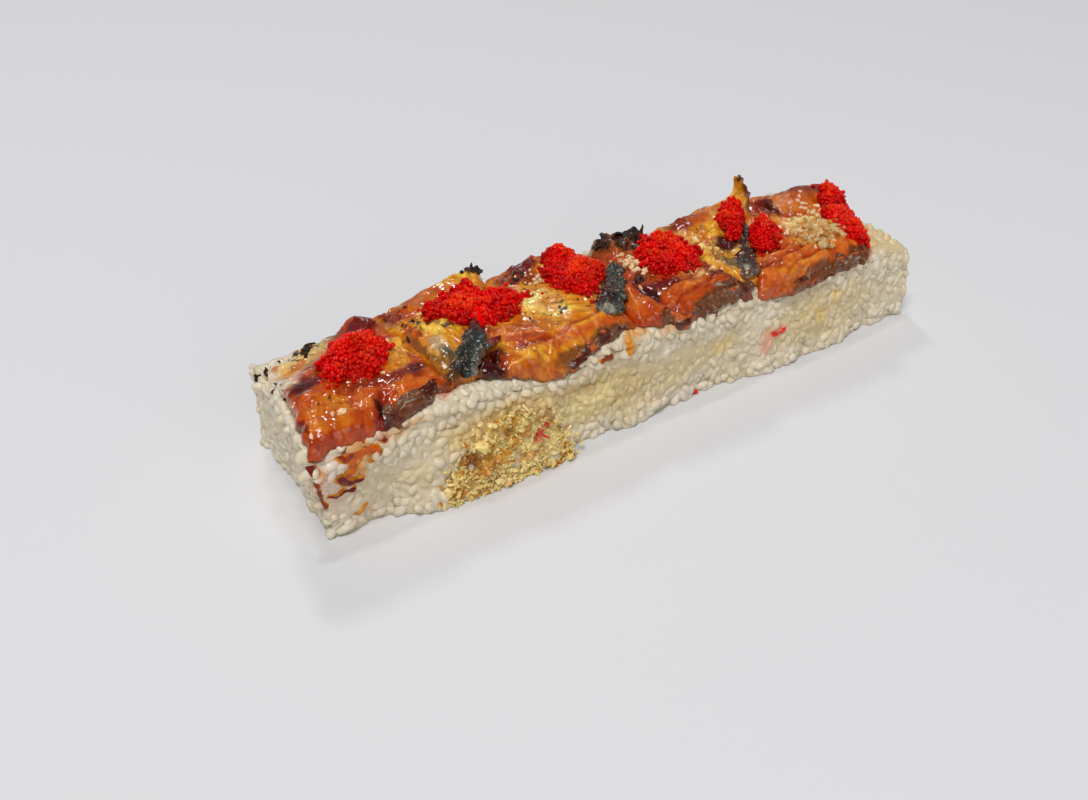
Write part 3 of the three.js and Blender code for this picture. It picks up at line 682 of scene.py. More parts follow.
SAUCE_FINISH = Finish("eel_sauce", 0.14, 0.1, 0.3, 1.8, 0.02, 1.2, bend=1.36, shine=0.4)
CRAB_FINISH = Finish("crab_shreds", 0.35, 0.2, 0.2, 0.6, 0.04, 0.4, glow=0.3, glow_depth=0.5)


@dataclass
class RiceLog:
    """The pressed rice: a bumpy core with some thousands of grains half sunk in it."""

    length: float = 220.0
    width: float = 58.8
    left_skew: float = 4.0
    left_lean: float = 7.5
    right_round: float = 3.0
    shoulder: float = 4.0
    relief: float = 1.0
    front_height: Pairs = ((-120, 33), (-98, 32.4), (-60, 32.6), (-40, 30.6), (-18, 32), (10, 30.8),
                           (30, 31), (52, 29.4), (72, 30.4), (90, 29.6), (110, 27.6))
    back_height: Pairs = ((-120, 26.6), (-84, 28), (-45, 30), (-10, 29.4), (40, 29), (84, 30), (110, 27))
    cross_fall: tuple[float, float] = (-12.0, 26.0)
    front_foot: Pairs = ((-116, -2.6), (-93, -2.4), (-86, 0.2), (-80, 2), (-50, 2.2), (-40, 2), (-36, -1),
                         (-20, -0.4), (28, -0.2), (42, 2), (58, 1.8), (72, 1.3), (90, 0.2), (110, 0))
    grain: tuple[float, float, float] = (6.4, 3.3, 2.9)
    brim: float = 0.975  # share of the height where the sides end and the top begins
    steps: tuple[int, int, int, int] = (30, 56, 96, 64)  # points over base, back, top and front
    stations: int = 320  # rings of points along the log
    cap_rings: int = 26  # rings of points on each end
    core_depth: float = 0.5  # how far the core lies under the grains' faces
    grain_stand: float = 0.3  # how far a pressed grain may stand out of the face
    grain_fullness: float = 2.6  # bluntness of a grain's ends
    grain_rows: float = 32.0  # height over which grains are laid on the sides
    side_pitches: tuple[float, float] = (2.9, 3.3)  # spacing of the grains in the front and back
    end_pitch: float = 2.6
    top_strips: tuple[tuple[float, ...], ...] = (
        (0, 0.06, -1, 1, 3.0), (0.93, 1, -1, 1, 3.0), (0.05, 0.94, 0.74, 1, 3.0),
        (0.05, 0.94, -1.012, -0.82, 1.8),
    )  # (from and to along the log, from and to across it, spacing), where the top is bare
    front_stains: tuple[Patch, ...] = fields(
        (RICE_PINK, -113, 20, 8, 12, 0.5), (TOAST, -21.5, 29, 1.4, 2.6, 0.5), (GOLD, -13, 29, 2.0, 3.6, 0.95),
        (RICE_WARM, -24, 16, 22, 9, 0.8), (RICE_WARM, 0, 12, 30, 8, 0.5, 10),
        (RICE_WARM, 70, 14, 30, 10, 0.5), (CRUMB, 68, 14, 3, 5, 0.6, 30), (CRUMB, 75, 17, 2.4, 3.4, 0.6, -20),
        (CRUMB, 24, 15, 5, 3, 0.45, 10), (CRUMB_PALE, -30, 14, 12, 6, 0.7, 15), (CRUMB, -59, 20, 24, 7, 0.6),
        (CRUMB, -88, 13, 5, 6, 0.2), (GOLD, -105, 28.5, 5.4, 4.2, 0.75), (GOLD, -106.6, 21.5, 3.4, 6.4, 0.85),
        (GOLD, -117.6, 23, 1.4, 5, 0.8), (GOLD, -102, 5.6, 2.8, 1.2, 0.5, 35),
        (AMBER, -97, 29.4, 1.8, 2.2, 0.8), (GOLD, -90, 29.5, 7, 1.6, 0.5, 4), (GOLD, 4, 30, 8, 1.4, 0.5),
        (TOAST, -30, 20.4, 7, 0.8, 0.45, 4), (ROE_ORANGE_AND_HIGHLIGHT, 44, 12, 5, 4, 0.3, 40),
        (CRAB, 47.8, 13.6, 3.2, 1.3, 0.6, 10), (CRAB, -48, 13, 4, 1.6, 0.4, 35),
    )
    top_stains: tuple[Patch, ...] = fields(
        (AMBER, 90, -26.5, 5.5, 3.4, 0.85, 20), (GOLD, 97, -22, 7, 4, 0.45, 30),
        (RICE_WARM, 103, -20, 12, 12, 0.5), (AMBER, -75, -24, 5, 3, 0.7), (GOLD, -9.5, -27, 3.6, 2.4, 0.7),
        (GOLD, -60, 27, 16, 3, 0.4),
    )

    def top(self, x: Array, y: Array) -> Array:
        """Height of the rice: front and back heights joined by smoothstep, with round shoulders."""
        fall = ease(y, *self.cross_fall)
        height = follow(self.front_height, x) * (1 - fall) + follow(self.back_height, x) * fall
        past = np.clip(np.abs(y) - (self.width / 2 - self.shoulder), 0, self.shoulder * 0.99)
        return height - self.shoulder + np.sqrt(self.shoulder**2 - past**2)

    def left_end(self, y: Array, z: Array) -> Array:
        """The x of the left end, askew in plan and leaning out towards its near top corner."""
        near = 0.5 - y / self.width
        return 1 - self.length / 2 - near * (self.left_skew + self.left_lean * z / self.front_height[0][1])

    def right_end(self, z: Array) -> Array:
        """The x of the right end, drawn in at its top."""
        return self.length / 2 + 1 - self.right_round * ease(z, 18, 30)

    def front_face(self, x: Array, z: Array) -> Array:
        """The y of the front, which stands out at its foot."""
        foot = follow(self.front_foot, x) * (1 - ease(z, 10, 26))
        return -self.width / 2 - foot - self.clumps(x, z)

    @staticmethod
    def clumps(x: Array, z: Array) -> Array:
        """How far clumps of grains stand out near the foot."""
        near_foot = 1.5 * noise(x / 6, z / 9, 2.0) + 1.1 * noise(x / 3.4, z / 5, 6.0)
        return near_foot * (1 - ease(z, 2, 11)) + 0.6 * noise(x / 11, z / 8, 4.5)

    def tint(self, points: Array) -> Array:
        """Colour of the rice: warm and pale clouds, then the stains on its front and top."""
        cloud = 0.5 + 0.5 * lumps(points, 9, 2)
        colour = mixed(RICE, RICE_WARM, np.clip(0.45 * cloud, 0, 1))
        front = paint(colour, self.front_stains, points[:, [0, 2]], points)
        colour = between(colour, front, 1 - ease(points[:, 1], -27, -24))
        above = paint(colour, self.top_stains, points[:, :2], points)
        return between(colour, above, ease(points[:, 2], 24, 27))

    def _section(self) -> Array:
        """Places round the section as (across -1 to 1, share of the height), from the front foot."""
        under, behind, above, before = self.steps
        base = np.stack([np.linspace(-1, 1, under, endpoint=False), np.zeros(under)], -1)
        back = np.stack([np.ones(behind), np.linspace(0, self.brim, behind, endpoint=False)], -1)
        over = np.stack([np.sin(np.linspace(np.pi / 2, -np.pi / 2, above)), np.ones(above)], -1)
        front = np.stack([-np.ones(before), np.linspace(self.brim, 0, before)], -1)
        return np.concatenate([base, back, over, front])[:-1]

    def surface_at(self, share: Array, across: Array, up: Array, inward: Array) -> Array:
        """Points of the log's skin.

        A point lies at a share of the length between the two ends, and at its place round
        the section, drawn in towards the section's middle by inward. All faces carry bumps.

        Args:
            share: Share of the length, 0 at the left end.
            across: Place across, -1 at the front.
            up: Share of the height.
            inward: 1 on the skin, 0 at the section's middle.

        Returns:
            The points.
        """
        half = self.width / 2
        x0 = self.length * (share - 0.5)
        crest = self.top(x0, across * half)
        middle = self.top(x0, 0 * across) / 2
        z = middle + (crest * up - middle) * inward
        bump = 0.6 * noise(x0 / 2.2, across * half / 2.3, z / 2.2) + 0.6 * noise(x0 / 6, 1.5, z / 5)
        bump = self.relief * bump
        front = (self.front_face(x0, z) - bump + half) * ease(-across, 0.75, 0.99)
        y = across * half + front + bump * ease(across, 0.75, 0.99)
        y = np.where((up == 0) & (across < 0), -across * self.front_face(x0, 0 * z), y) * inward
        x = self.left_end(y, z) * (1 - share) + self.right_end(z) * share
        knobs = self.relief * (0.9 * noise(y / 5, z / 4, 3.0) + 0.5 * noise(y / 2.4, z / 2.2, 7.0))
        x = x + knobs * (share * share - (1 - share) ** 2)
        return np.stack([x, y, z], -1)

    def core(self) -> Shell:
        """The bumpy body under the grains, a loft along the log with a closed cap at each end."""
        section = self._section()
        caps = np.sqrt(np.linspace(0.02, 1, self.cap_rings, endpoint=False))
        end = np.ones(len(caps))
        share = np.concatenate([0 * end, np.linspace(0, 1, self.stations), end])
        inward = np.concatenate([caps, np.ones(self.stations), caps[::-1]])
        rings = self.surface_at(share[:, None], section[None, :, 0], section[None, :, 1], inward[:, None])
        along = np.gradient(rings, axis=0)
        around = (np.roll(rings, -1, 1) - np.roll(rings, 1, 1)) / 2
        out = unit(np.cross(around, along))
        middle = len(rings) // 2
        if (out[middle, :, 1] * rings[middle, :, 1]).sum() < 0:
            out = -out
        flat = rings.reshape(-1, 3)
        hills = (0.5 * pebbles(flat, 3.2, 1) + 0.15 * lumps(flat, 1.1)).reshape(rings.shape[:2])
        rings = rings + out * (hills - self.core_depth)[..., None]
        on_base = (section[None, :, 1] == 0) & (inward[:, None] == 1)
        rings[..., 2] = np.where(on_base, 0.0, np.maximum(rings[..., 2], 0.05))
        points, triangles = loft(rings)
        # The core is painted a little darker than the grains: painted shade in the gaps between them.
        return Shell.of(points, triangles, self.tint(points) * 0.93, 0.25)

    def _spots(
        self, random: np.random.Generator, size: tuple[float, float], pitch: float
    ) -> tuple[Array, Array]:
        """Evenly spread places over a face of the given size: staggered rows with jitter."""
        columns, rows = int(size[0] / pitch), int(size[1] / pitch)
        column, row = np.meshgrid(np.arange(columns), np.arange(rows), indexing="ij")
        u = (column + 0.5 * (row % 2) + random.uniform(0.1, 0.6, column.shape)) / (columns + 0.5)
        v = (row + random.uniform(0.15, 0.85, column.shape)) / rows
        return u.ravel(), v.ravel()

    def _faces(self, random: np.random.Generator) -> tuple[Array, Array]:
        """Where the grains lie and which way each one's face looks, for all faces of the log."""
        places, normals = [], []

        def lay(share: Array, across: Array, up: Array, inward: Array, normal: tuple[float, ...]) -> None:
            """Adds the places of one face and its normals, which lean out at the shoulders."""
            points = self.surface_at(*np.broadcast_arrays(share, across, up, inward))
            lean = np.abs(points[:, 1]) - self.width / 2 + self.shoulder
            lean = np.clip(lean, 0, self.shoulder) / self.shoulder
            lean = normal[2] * np.sign(points[:, 1]) * lean * (points[:, 2] > 20)
            rise = 0.9 * (abs(normal[1]) > 0.5) * ease(points[:, 2], 22, 28)
            places.append(points)
            normals.append(unit(np.array(normal) + np.stack([0 * lean, lean, rise], -1)))

        for side, pitch in zip((-1.0, 1.0), self.side_pitches):
            u, v = self._spots(random, (self.length, self.grain_rows), pitch)
            lay(u, side, 0.02 + 0.97 * v, 1.0, (0, side, 0))
        for end in (0.0, 1.0):
            u, v = self._spots(random, (self.width, self.grain_rows), self.end_pitch)
            across, up = 2 * u - 1, 2 * v - 1
            edge = np.maximum(np.maximum(np.abs(across), np.abs(up)), 0.02)
            lay(end, across / edge, 0.5 + 0.5 * up / edge, edge, (2 * end - 1, -0.05, 0.05))
        for low_u, high_u, low_v, high_v, pitch in self.top_strips:
            size = ((high_u - low_u) * self.length, (high_v - low_v) * self.width / 2)
            u, v = self._spots(random, size, pitch)
            lay(low_u + (high_u - low_u) * u, (low_v + (high_v - low_v) * v) * 0.985, 1.0, 1.0, (0, 0, 1))
        return np.concatenate(places), np.concatenate(normals)

    def grains(self, keep_out: Array) -> Shell:
        """Grains pressed into all faces, their outer sides flattened to the face.

        Args:
            keep_out: The filling's middle x, half-length and height, where no grain lies.

        Returns:
            The grains as one shell.
        """
        random = np.random.default_rng(12)
        places, normals = self._faces(random)
        middle, half_length, rise = keep_out
        nearness = np.hypot((places[:, 0] - middle) / half_length, places[:, 2] / rise)
        inside = nearness + 0.3 * lumps(places, 4, 2) < 0.84
        kept = ~(inside & (normals[:, 1] < -0.5))
        places, normals = places[kept], normals[kept]
        count = len(places)
        broken = np.where(random.uniform(0, 1, count) < 0.3, random.uniform(0.45, 0.8, count), 1.0)
        sizes = np.array(self.grain) * random.uniform(0.85, 1.15, (count, 3))
        sizes[:, 0] *= broken
        low = 1 - ease(places[:, 2], 1, 7)
        sink = sizes[:, 2] * random.uniform(0.34, 0.5, count) - 0.5 * low - 0.35 * lumps(places, 7, 5)
        sink += 0.2 * ease(lumps(places, 11, 4), 0, 0.5) * (1 - low)
        axes = axes_on(normals, random.uniform(0, np.pi, count), random.normal(0, 0.25 + 0.15 * low, count))
        body = lozenge(8, 4, self.grain_fullness)
        centres = places - normals * sink[:, None]
        shell = scattered(body, centres, axes, sizes, np.ones((count, 3)), 0.2, random, 0.06)
        each = len(body[0])
        points = shell.points.reshape(count, each, 3)
        out = np.einsum("nkj,nj->nk", points - places[:, None], normals)
        limit = self.grain_stand + 0.8 * low[:, None]
        pressed = np.where(out > limit, limit + 0.2 * (out - limit), out)
        points = points + (pressed - out)[..., None] * normals[:, None]
        points[..., 2] = np.maximum(points[..., 2], FLOOR_CLEARANCE)
        shade = random.normal(1, 0.03, (count, 1, 1))
        tint = self.tint(points.reshape(-1, 3)).reshape(count, each, 3)
        # Painted light: the parts of a grain that stand out of the face are painted paler and whiter, a
        # painted highlight, while its sunk parts keep the warmer colour as painted shade.
        pale = np.minimum(tint * (1.06, 1.14, 1.4), 0.9)
        tint = between(tint, pale, 0.35 * ease(pressed, -0.8, 0.5)) * shade
        shell.points, shell.tint = points.reshape(-1, 3), tint.reshape(-1, 3)
        return shell

    def build(self, keep_out: Array) -> None:
        """Makes the core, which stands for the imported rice, and the grains on it."""
        self.core().object("rice_core", RICE_FINISH, "rice", "rice_block")
        self.grains(keep_out).object("rice_grains", RICE_FINISH, "rice")


RICE_LOG = RiceLog()


@dataclass
class CrumbFilling:
    """The fried crumbs that show in the front: a lumpy bar into the log, under loose crumbs."""

    x: float = -59.0
    half_length: float = 21.0
    height: float = 21.5
    front: float = -31.8
    depth: float = 44.0
    crumb_count: int = 1700
    patches: tuple[Patch, ...] = fields(
        (CRUMB_PALE, -50, 9, 9, 9, 0.7), (TOAST, -72, 13, 3.4, 4.4, 0.9, 20),
        (TOAST, -60.5, 17.5, 3.2, 2.2, 0.7, 10), (TOAST, -48.5, 18.5, 2.6, 2.6, 0.8),
        (GOLD, -66, 10, 6, 3, 0.6, 10), (GOLD, -54, 7, 7, 2.4, 0.5), (CRAB, -49, 13, 3.4, 1.2, 0.8, 35),
        (CRUMB_PALE, -60, 4, 16, 3.6, 0.6),
    )

    @property
    def keep_out(self) -> Array:
        """The middle x, half-length and height of what shows."""
        return np.array([self.x, self.half_length, self.height])

    def core(self) -> Shell:
        """A lumpy bar: each ring is an arch scaled down as it runs into the log, its foot cut level."""
        around = 96
        angle = 2 * np.pi * np.arange(around) / around
        station = np.concatenate([np.zeros(14), np.linspace(0, 5, 24)])
        scale = np.concatenate([np.sqrt(np.linspace(0.01, 0.95, 14)), np.ones(24)])
        narrowing = (1 - 0.45 * station / 5) * scale
        lump = 1 + 0.14 * noise(3 * np.cos(angle) + 9, 3 * np.sin(angle), 0.7 * station[:, None])
        x = self.x + self.half_length * narrowing[:, None] * lump * np.cos(angle)
        rise = self.height * (0.35 + 0.65 * np.abs(np.sin(angle))) * narrowing[:, None] * lump
        z = np.maximum(rise * np.sin(angle), 0.0)
        bumps = np.where(station[:, None] == 0, 0.8 + 1.3 * noise(x / 2.6, 4.0, z / 2.6), 0)
        y = self.front + self.depth * station[:, None] / 5 - bumps
        rings = np.stack([x, y, z], -1)
        rough_face = 0.6 * rough(rings.reshape(-1, 3), 2.0).reshape(rings.shape[:2])
        rings[..., 1] -= np.where(station[:, None] == 0, rough_face, 0)
        points, triangles = loft(rings)
        tint = paint(CRUMB.linear, self.patches, points[:, [0, 2]], points)
        return Shell.of(points, triangles, tint * 0.88, 0.0)

    def crumbs(self) -> Shell:
        """Loose crumbs and flakes all over the part that shows, larger and looser at its foot."""
        random = np.random.default_rng(31)
        count = self.crumb_count
        angle = random.uniform(0, np.pi, count)
        reach = np.sqrt(random.uniform(0, 1, count)) * (1.0 + 0.26 * random.uniform(0, 1, count) ** 3)
        x = self.x + self.half_length * reach * np.cos(angle)
        z = np.maximum(self.height * reach * np.sin(angle) ** 1.2, 0.5)
        low = 1 - ease(z, 2, 9)
        y = self.front - 0.4 - 1.3 * noise(x / 2.6, 4.0, z / 2.6)
        y = y - random.uniform(0, 1.1, count) * (0.6 + low)
        size = random.lognormal(0.1, 0.35, count)
        sizes = np.stack([size * 1.5, size * 0.95, size * 0.55], -1)
        centres = np.stack([x, np.maximum(y, 0.8 * size - 36.4), np.maximum(z, 0.45 * size)], -1)
        tint = mixed(CRUMB_PALE, CRUMB, random.uniform(0, 1, count) * np.clip(1.6 - reach, 0, 1))
        brown = (random.uniform(0, 1, count) < 0.2)[:, None]
        tint = np.where(brown, GOLD.linear * 0.8, tint)
        tint = paint(tint, self.patches, centres[:, [0, 2]], centres) * random.normal(1, 0.08, (count, 1))
        axes = any_axes(random, count)
        shell = scattered(lozenge(5, 2, 2.0), centres, axes, sizes, tint, 0.0, random, 0.3)
        shell.points[:, 2] = np.maximum(shell.points[:, 2], FLOOR_CLEARANCE)
        return shell

    def build(self) -> None:
        """Makes the bar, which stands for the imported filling, and its crumbs."""
        self.core().object("filling_core", CRUMB_FINISH, "crumb", "crumb_filling")
        self.crumbs().object("filling_crumbs", CRUMB_FINISH, "crumb", smooth=False)


SEAT = 0.5  # clearance between the rice and the eel
SIDE_REACH = 0.1  # how far each slice reaches over the line it shares with the next
SLICE_CELL = 0.3  # spacing of a slice's points from left to right
SLICE_COLUMNS = 176  # points of a slice from front to back
RIM_HEIGHT = 0.7
RIM_SHARPNESS = 5  # how boxy a slice is: the power in its fall towards its rim
FRONT_EDGE: Pairs = ((-120, -29), (-98, -29.2), (-86, -27.6), (-74, -24.6), (-64, -25), (-57, -27),
                     (-45, -29.6), (-38, -30), (-30, -28.8), (-18, -27.2), (-10, -25.8), (0, -28.4),
                     (10, -29.6), (25, -28.8), (40, -29.4), (52, -30.8), (66, -30.4), (85, -29.8), (94,
                                                                                                    -27))
BACK_EDGE: Pairs = ((-112, 20), (-90, 23), (-60, 25.5), (-30, 24.5), (0, 24), (40, 22), (74, 22),
                    (90, 19), (110, 12))
BORDERS: tuple[Pairs, ...] = (
    ((-30, -119), (-20, -116.6), (-13, -115), (-6, -113), (10, -111.5), (25, -108.5)),
    ((-30, -76.5), (-24, -73.5), (0, -73.4), (26, -72.6)),
    ((-30, -57), (-20, -58), (-12, -56), (-5, -50.5), (5, -44), (12, -38.5), (20, -33.5), (27, -31)),
    ((-30, -9.5), (-22, -9), (-14, -5.5), (-6, 0.5), (2, 4.5), (10, 7), (25, 9.5)),
    ((-30, 37), (-26, 36), (-20, 34.5), (-10, 33.5), (0, 34), (25, 34.5)),
    ((-30, 38.5), (-26, 40.5), (-22, 45), (-14, 51.5), (-5, 58), (5, 64), (14, 69.5), (25, 74)),
    ((-30, 88), (-25, 91), (-18, 94), (-10, 98), (0, 105), (8, 108.5), (20, 107)),
)


SAUCE_DEPTH = np.array([0.35, 1.0, 1.6])  # how fast the sauce takes out red, green and blue


@dataclass(frozen=True)
class Crease:
    """A ridge of glaze or flesh along a line in plan, or a furrow where its height is negative."""

    line: Pairs
    half_width: float
    height: float
    burnt: float = 0.0  # share of char along its crest

    def rise(self, plan: Array) -> Array:
        """Height at each place: a bell across the line."""
        return self.height * np.exp(-((distance_to_line(plan, self.line) / self.half_width) ** 2))


def ridges(*rows: tuple) -> tuple[Crease, ...]:
    """Creases from rows of (line, half-width, height, share of char)."""
    return tuple(Crease(*row) for row in rows)


@dataclass
class EelSlice:
    """One slice of seared eel: flesh, its skin at the front edge, and the glaze over it."""

    number: int
    crown: float
    base: Tone
    swells: tuple[tuple[float, ...], ...]
    curls: tuple[tuple[float, ...], ...]
    patches: tuple[Patch, ...]
    creases: tuple[Crease, ...]
    hides: tuple[Patch, ...] = ()  # grey skin and char, which the sauce doesn't tint
    burns: tuple[tuple[float, ...], ...] = ()  # (x, y, reach, share covered) of burnt specks
    dry: tuple[tuple[float, ...], ...] = ()  # mounds of dryness over the glaze
    front: float = -40.0
    fibre: float = 30.0  # direction of the flesh's fibres in plan, in degrees

    def sides(self, y: Array) -> tuple[Array, Array]:
        """The slice's left and right x at each y."""
        left, right = (follow(line, y) + 0.6 * noise(y / 3, k + self.number, 2.0)
                       for k, line in enumerate(BORDERS[self.number - 1:self.number + 1]))
        return left - SIDE_REACH, right + SIDE_REACH

    def ends(self, x: Array) -> tuple[Array, Array]:
        """The slice's front and back y at each x."""
        ragged = 0.7 * noise(x / 3.4, 3.0, 1.0) + 0.4 * noise(x / 1.4, 6.0, 1.0)
        return np.maximum(follow(FRONT_EDGE, x), self.front) + ragged, follow(BACK_EDGE, x) + ragged

    def plan(self, u: Array, v: Array) -> tuple[Array, Array]:
        """Where a slice's shares across and along lie, found by settling x and y in turn."""
        y = -27 + 49 * v
        x = 0 * u
        for _ in range(12):
            left, right = self.sides(y)
            x = left + (right - left) * u
            front, back = self.ends(x)
            y = front + (back - front) * v
        return x, y

    def shares(self, x: Array, y: Array) -> tuple[Array, Array]:
        """The shares across and along at which a place lies."""
        left, right = self.sides(y)
        front, back = self.ends(x)
        return (x - left) / (right - left), (y - front) / (back - front)

    def seat(self, x: Array, y: Array) -> Array:
        """Height of the slice's lower face: on the rice, and off it where it curls."""
        return RICE_LOG.top(x, y) + SEAT + mounds(self.curls, x, y)

    @staticmethod
    def fullness(u: Array, v: Array) -> Array:
        """Share of the thickness, 1 inside and 0 at the rim: (1 - |2t - 1|^5)^0.5 each way."""
        def rise(t: Array) -> Array:
            return np.sqrt(np.clip(1 - np.abs(2 * t - 1) ** RIM_SHARPNESS, 0, 1))
        return rise(u) * rise(v)

    def top(self, x: Array, y: Array) -> Array:
        """Height of the slice's upper face, falling to a thin edge all round."""
        u, v = self.shares(x, y)
        thickness = self.crown + mounds(self.swells, x, y) + 0.35 * noise(x / 5, y / 5, 3.0) - RIM_HEIGHT
        return self.seat(x, y) + RIM_HEIGHT + self.fullness(u, v) * np.maximum(thickness, 0.8)

    def film(self, points: Array) -> tuple[Array, Array]:
        """The film of glaze: its cover, 1 where it lies and 0 beside it, and the bead along its rim."""
        dryness = mounds(self.dry, points[..., 0], points[..., 1])
        depth = rough(points, 6.5, self.number + 20, 3) + 0.2 - 1.4 * dryness
        return ease(depth, -0.05, 0.1), np.exp(-(((depth - 0.1) / 0.09) ** 2))

    def relief(self, points: Array, plan: Array) -> Array:
        """Fine height over the smooth slice.

        The flesh has soft wrinkles, fibres along one direction with flaky breaks across them,
        and its creases. The film of glaze stands above it, beaded along its rim, and hides the
        fibres.

        Args:
            points: Places on the smooth upper face.
            plan: Their x and y.

        Returns:
            The height to add at each place.
        """
        along = turned(plan, -self.fibre)
        push = 0.5 * lumps(points, 4, 6)
        fibres = noise(along[..., 0] / 5, (along[..., 1] + push) / 0.8, 1.0)
        breaks = 1 - np.abs(noise((along[..., 0] + 3 * push) / 2.6, along[..., 1] / 7, 4.0))
        cover, bead = self.film(points)
        flesh = (0.14 * fibres + 0.25 * breaks**4 + 0.16 * rough(points, 1.8, 2, 2)) * (1 - 0.85 * cover)
        flesh = flesh + 0.65 * rough(points, 5.2, self.number, 2) + 0.3 * cover + 0.28 * bead
        for crease in self.creases:
            flesh = flesh + crease.rise(plan)
        return flesh

    def build(self) -> None:
        """Makes the slice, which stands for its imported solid."""
        left, right = self.sides(np.array(0.0))
        rows, columns = int((right - left) / SLICE_CELL), SLICE_COLUMNS
        u, v = (0.5 - 0.5 * np.cos(np.pi * np.linspace(0.002, 0.998, n)) for n in (rows, columns))
        u, v = ((t - t[0]) / (t[-1] - t[0]) for t in (u, v))
        u = 0.5 * u + 0.5 * np.linspace(0, 1, rows)
        v = 0.6 * v + 0.4 * np.linspace(0, 1, columns)
        u, v = np.meshgrid(u, v, indexing="ij")
        x, y = self.plan(u, v)
        full = self.fullness(u, v)
        upper = np.stack([x, y, self.top(x, y)], -1)
        lower = np.stack([x, y, self.seat(x, y)], -1)
        upper[..., 2] -= 1.2 * (1 - ease(full, 0.0, 0.3))
        steady = ease(full, 0.0, 0.5) * 0.65 + 0.35
        relief = self.relief(upper, upper[..., :2])
        upper = upper + sheet_normals(upper) * (relief * steady)[..., None]
        lower[..., 2] = np.minimum(lower[..., 2], upper[..., 2] - 0.3)
        points, triangles, used = slab(upper, lower)
        tint, wet = self.surface(upper.reshape(-1, 3), full.reshape(-1), relief.reshape(-1))
        tint, wet = np.tile(tint, (2, 1))[used], np.tile(wet, 2)[used]
        shell = Shell.of(points, triangles, tint, wet)
        shell.object(f"seared_slice_{self.number}", EEL_FINISH, "eel", f"eel_slice_{self.number}")

    def surface(self, points: Array, full: Array, relief: Array) -> tuple[Array, Array]:
        """Colour and wetness of the slice.

        The flesh's patches go on first. Sauce of a thickness t takes out each colour by
        exp(-depth * t): it is thick in hollows, at the film's rim and low on the edges, and
        thin on the ridges. Grey skin, burnt specks and scorched fibres follow.

        Args:
            points: Places on the upper face.
            full: Share of the slice's thickness at each place.
            relief: Fine height at each place.

        Returns:
            The colours and the wetness.
        """
        plan = points[:, :2]
        colour = paint(self.base.linear, self.patches, plan, points)
        along = turned(plan, -self.fibre)
        fibres = noise(along[:, 0] / 6, along[:, 1] / 0.8, 1.0)
        cover, bead = self.film(points)
        pooled = sum((np.clip(-crease.rise(plan), 0, 1) for crease in self.creases), np.zeros(len(plan)))
        thickness = (0.05 + 0.35 * cover + 0.25 * bead + 0.9 * pooled + 0.45 * (1 - ease(full, 0.2, 0.75))
                     - 0.5 * np.clip(relief - 0.3, -0.8, 0.8) + 0.5 * rough(points, 2.6, 6) + 0.2 * fibres)
        colour = colour * np.exp(-SAUCE_DEPTH * np.clip(thickness, -0.35, 2)[:, None])
        colour = paint(colour, self.hides, plan, points)
        scorch = noise(along[:, 0] / 3.2, along[:, 1] / 0.5, 5.0) + 0.5 * lumps(points, 7, 3)
        scorch = ease(scorch, 0.5, 0.9)
        colour = colour * (1 - 0.4 * scorch * (1 - 0.8 * cover))[:, None]
        wet = 0.55 + 0.45 * cover - 0.5 * mounds(self.dry, plan[:, 0], plan[:, 1])
        burnt = np.zeros(len(points))
        for x, y, reach, share in self.burns:
            near = np.exp(-((np.hypot(plan[:, 0] - x, plan[:, 1] - y) / reach) ** 2))
            specks = ease(rough(points, 1.3, x, 2) * 0.5 + 0.5, 1 - share, 1.06 - share)
            burnt = np.maximum(burnt, specks * ease(near, 0.3, 0.6))
        for crease in self.creases:
            line = np.exp(-((distance_to_line(plan, crease.line) / 0.5) ** 2))
            burnt = np.maximum(burnt, crease.burnt * (line * ease(lumps(points, 1.6, 3), -0.5, 0.1)))
        return laid(colour, CHAR, 0.94 * burnt), np.clip(wet - 0.3 * burnt, 0, 1)


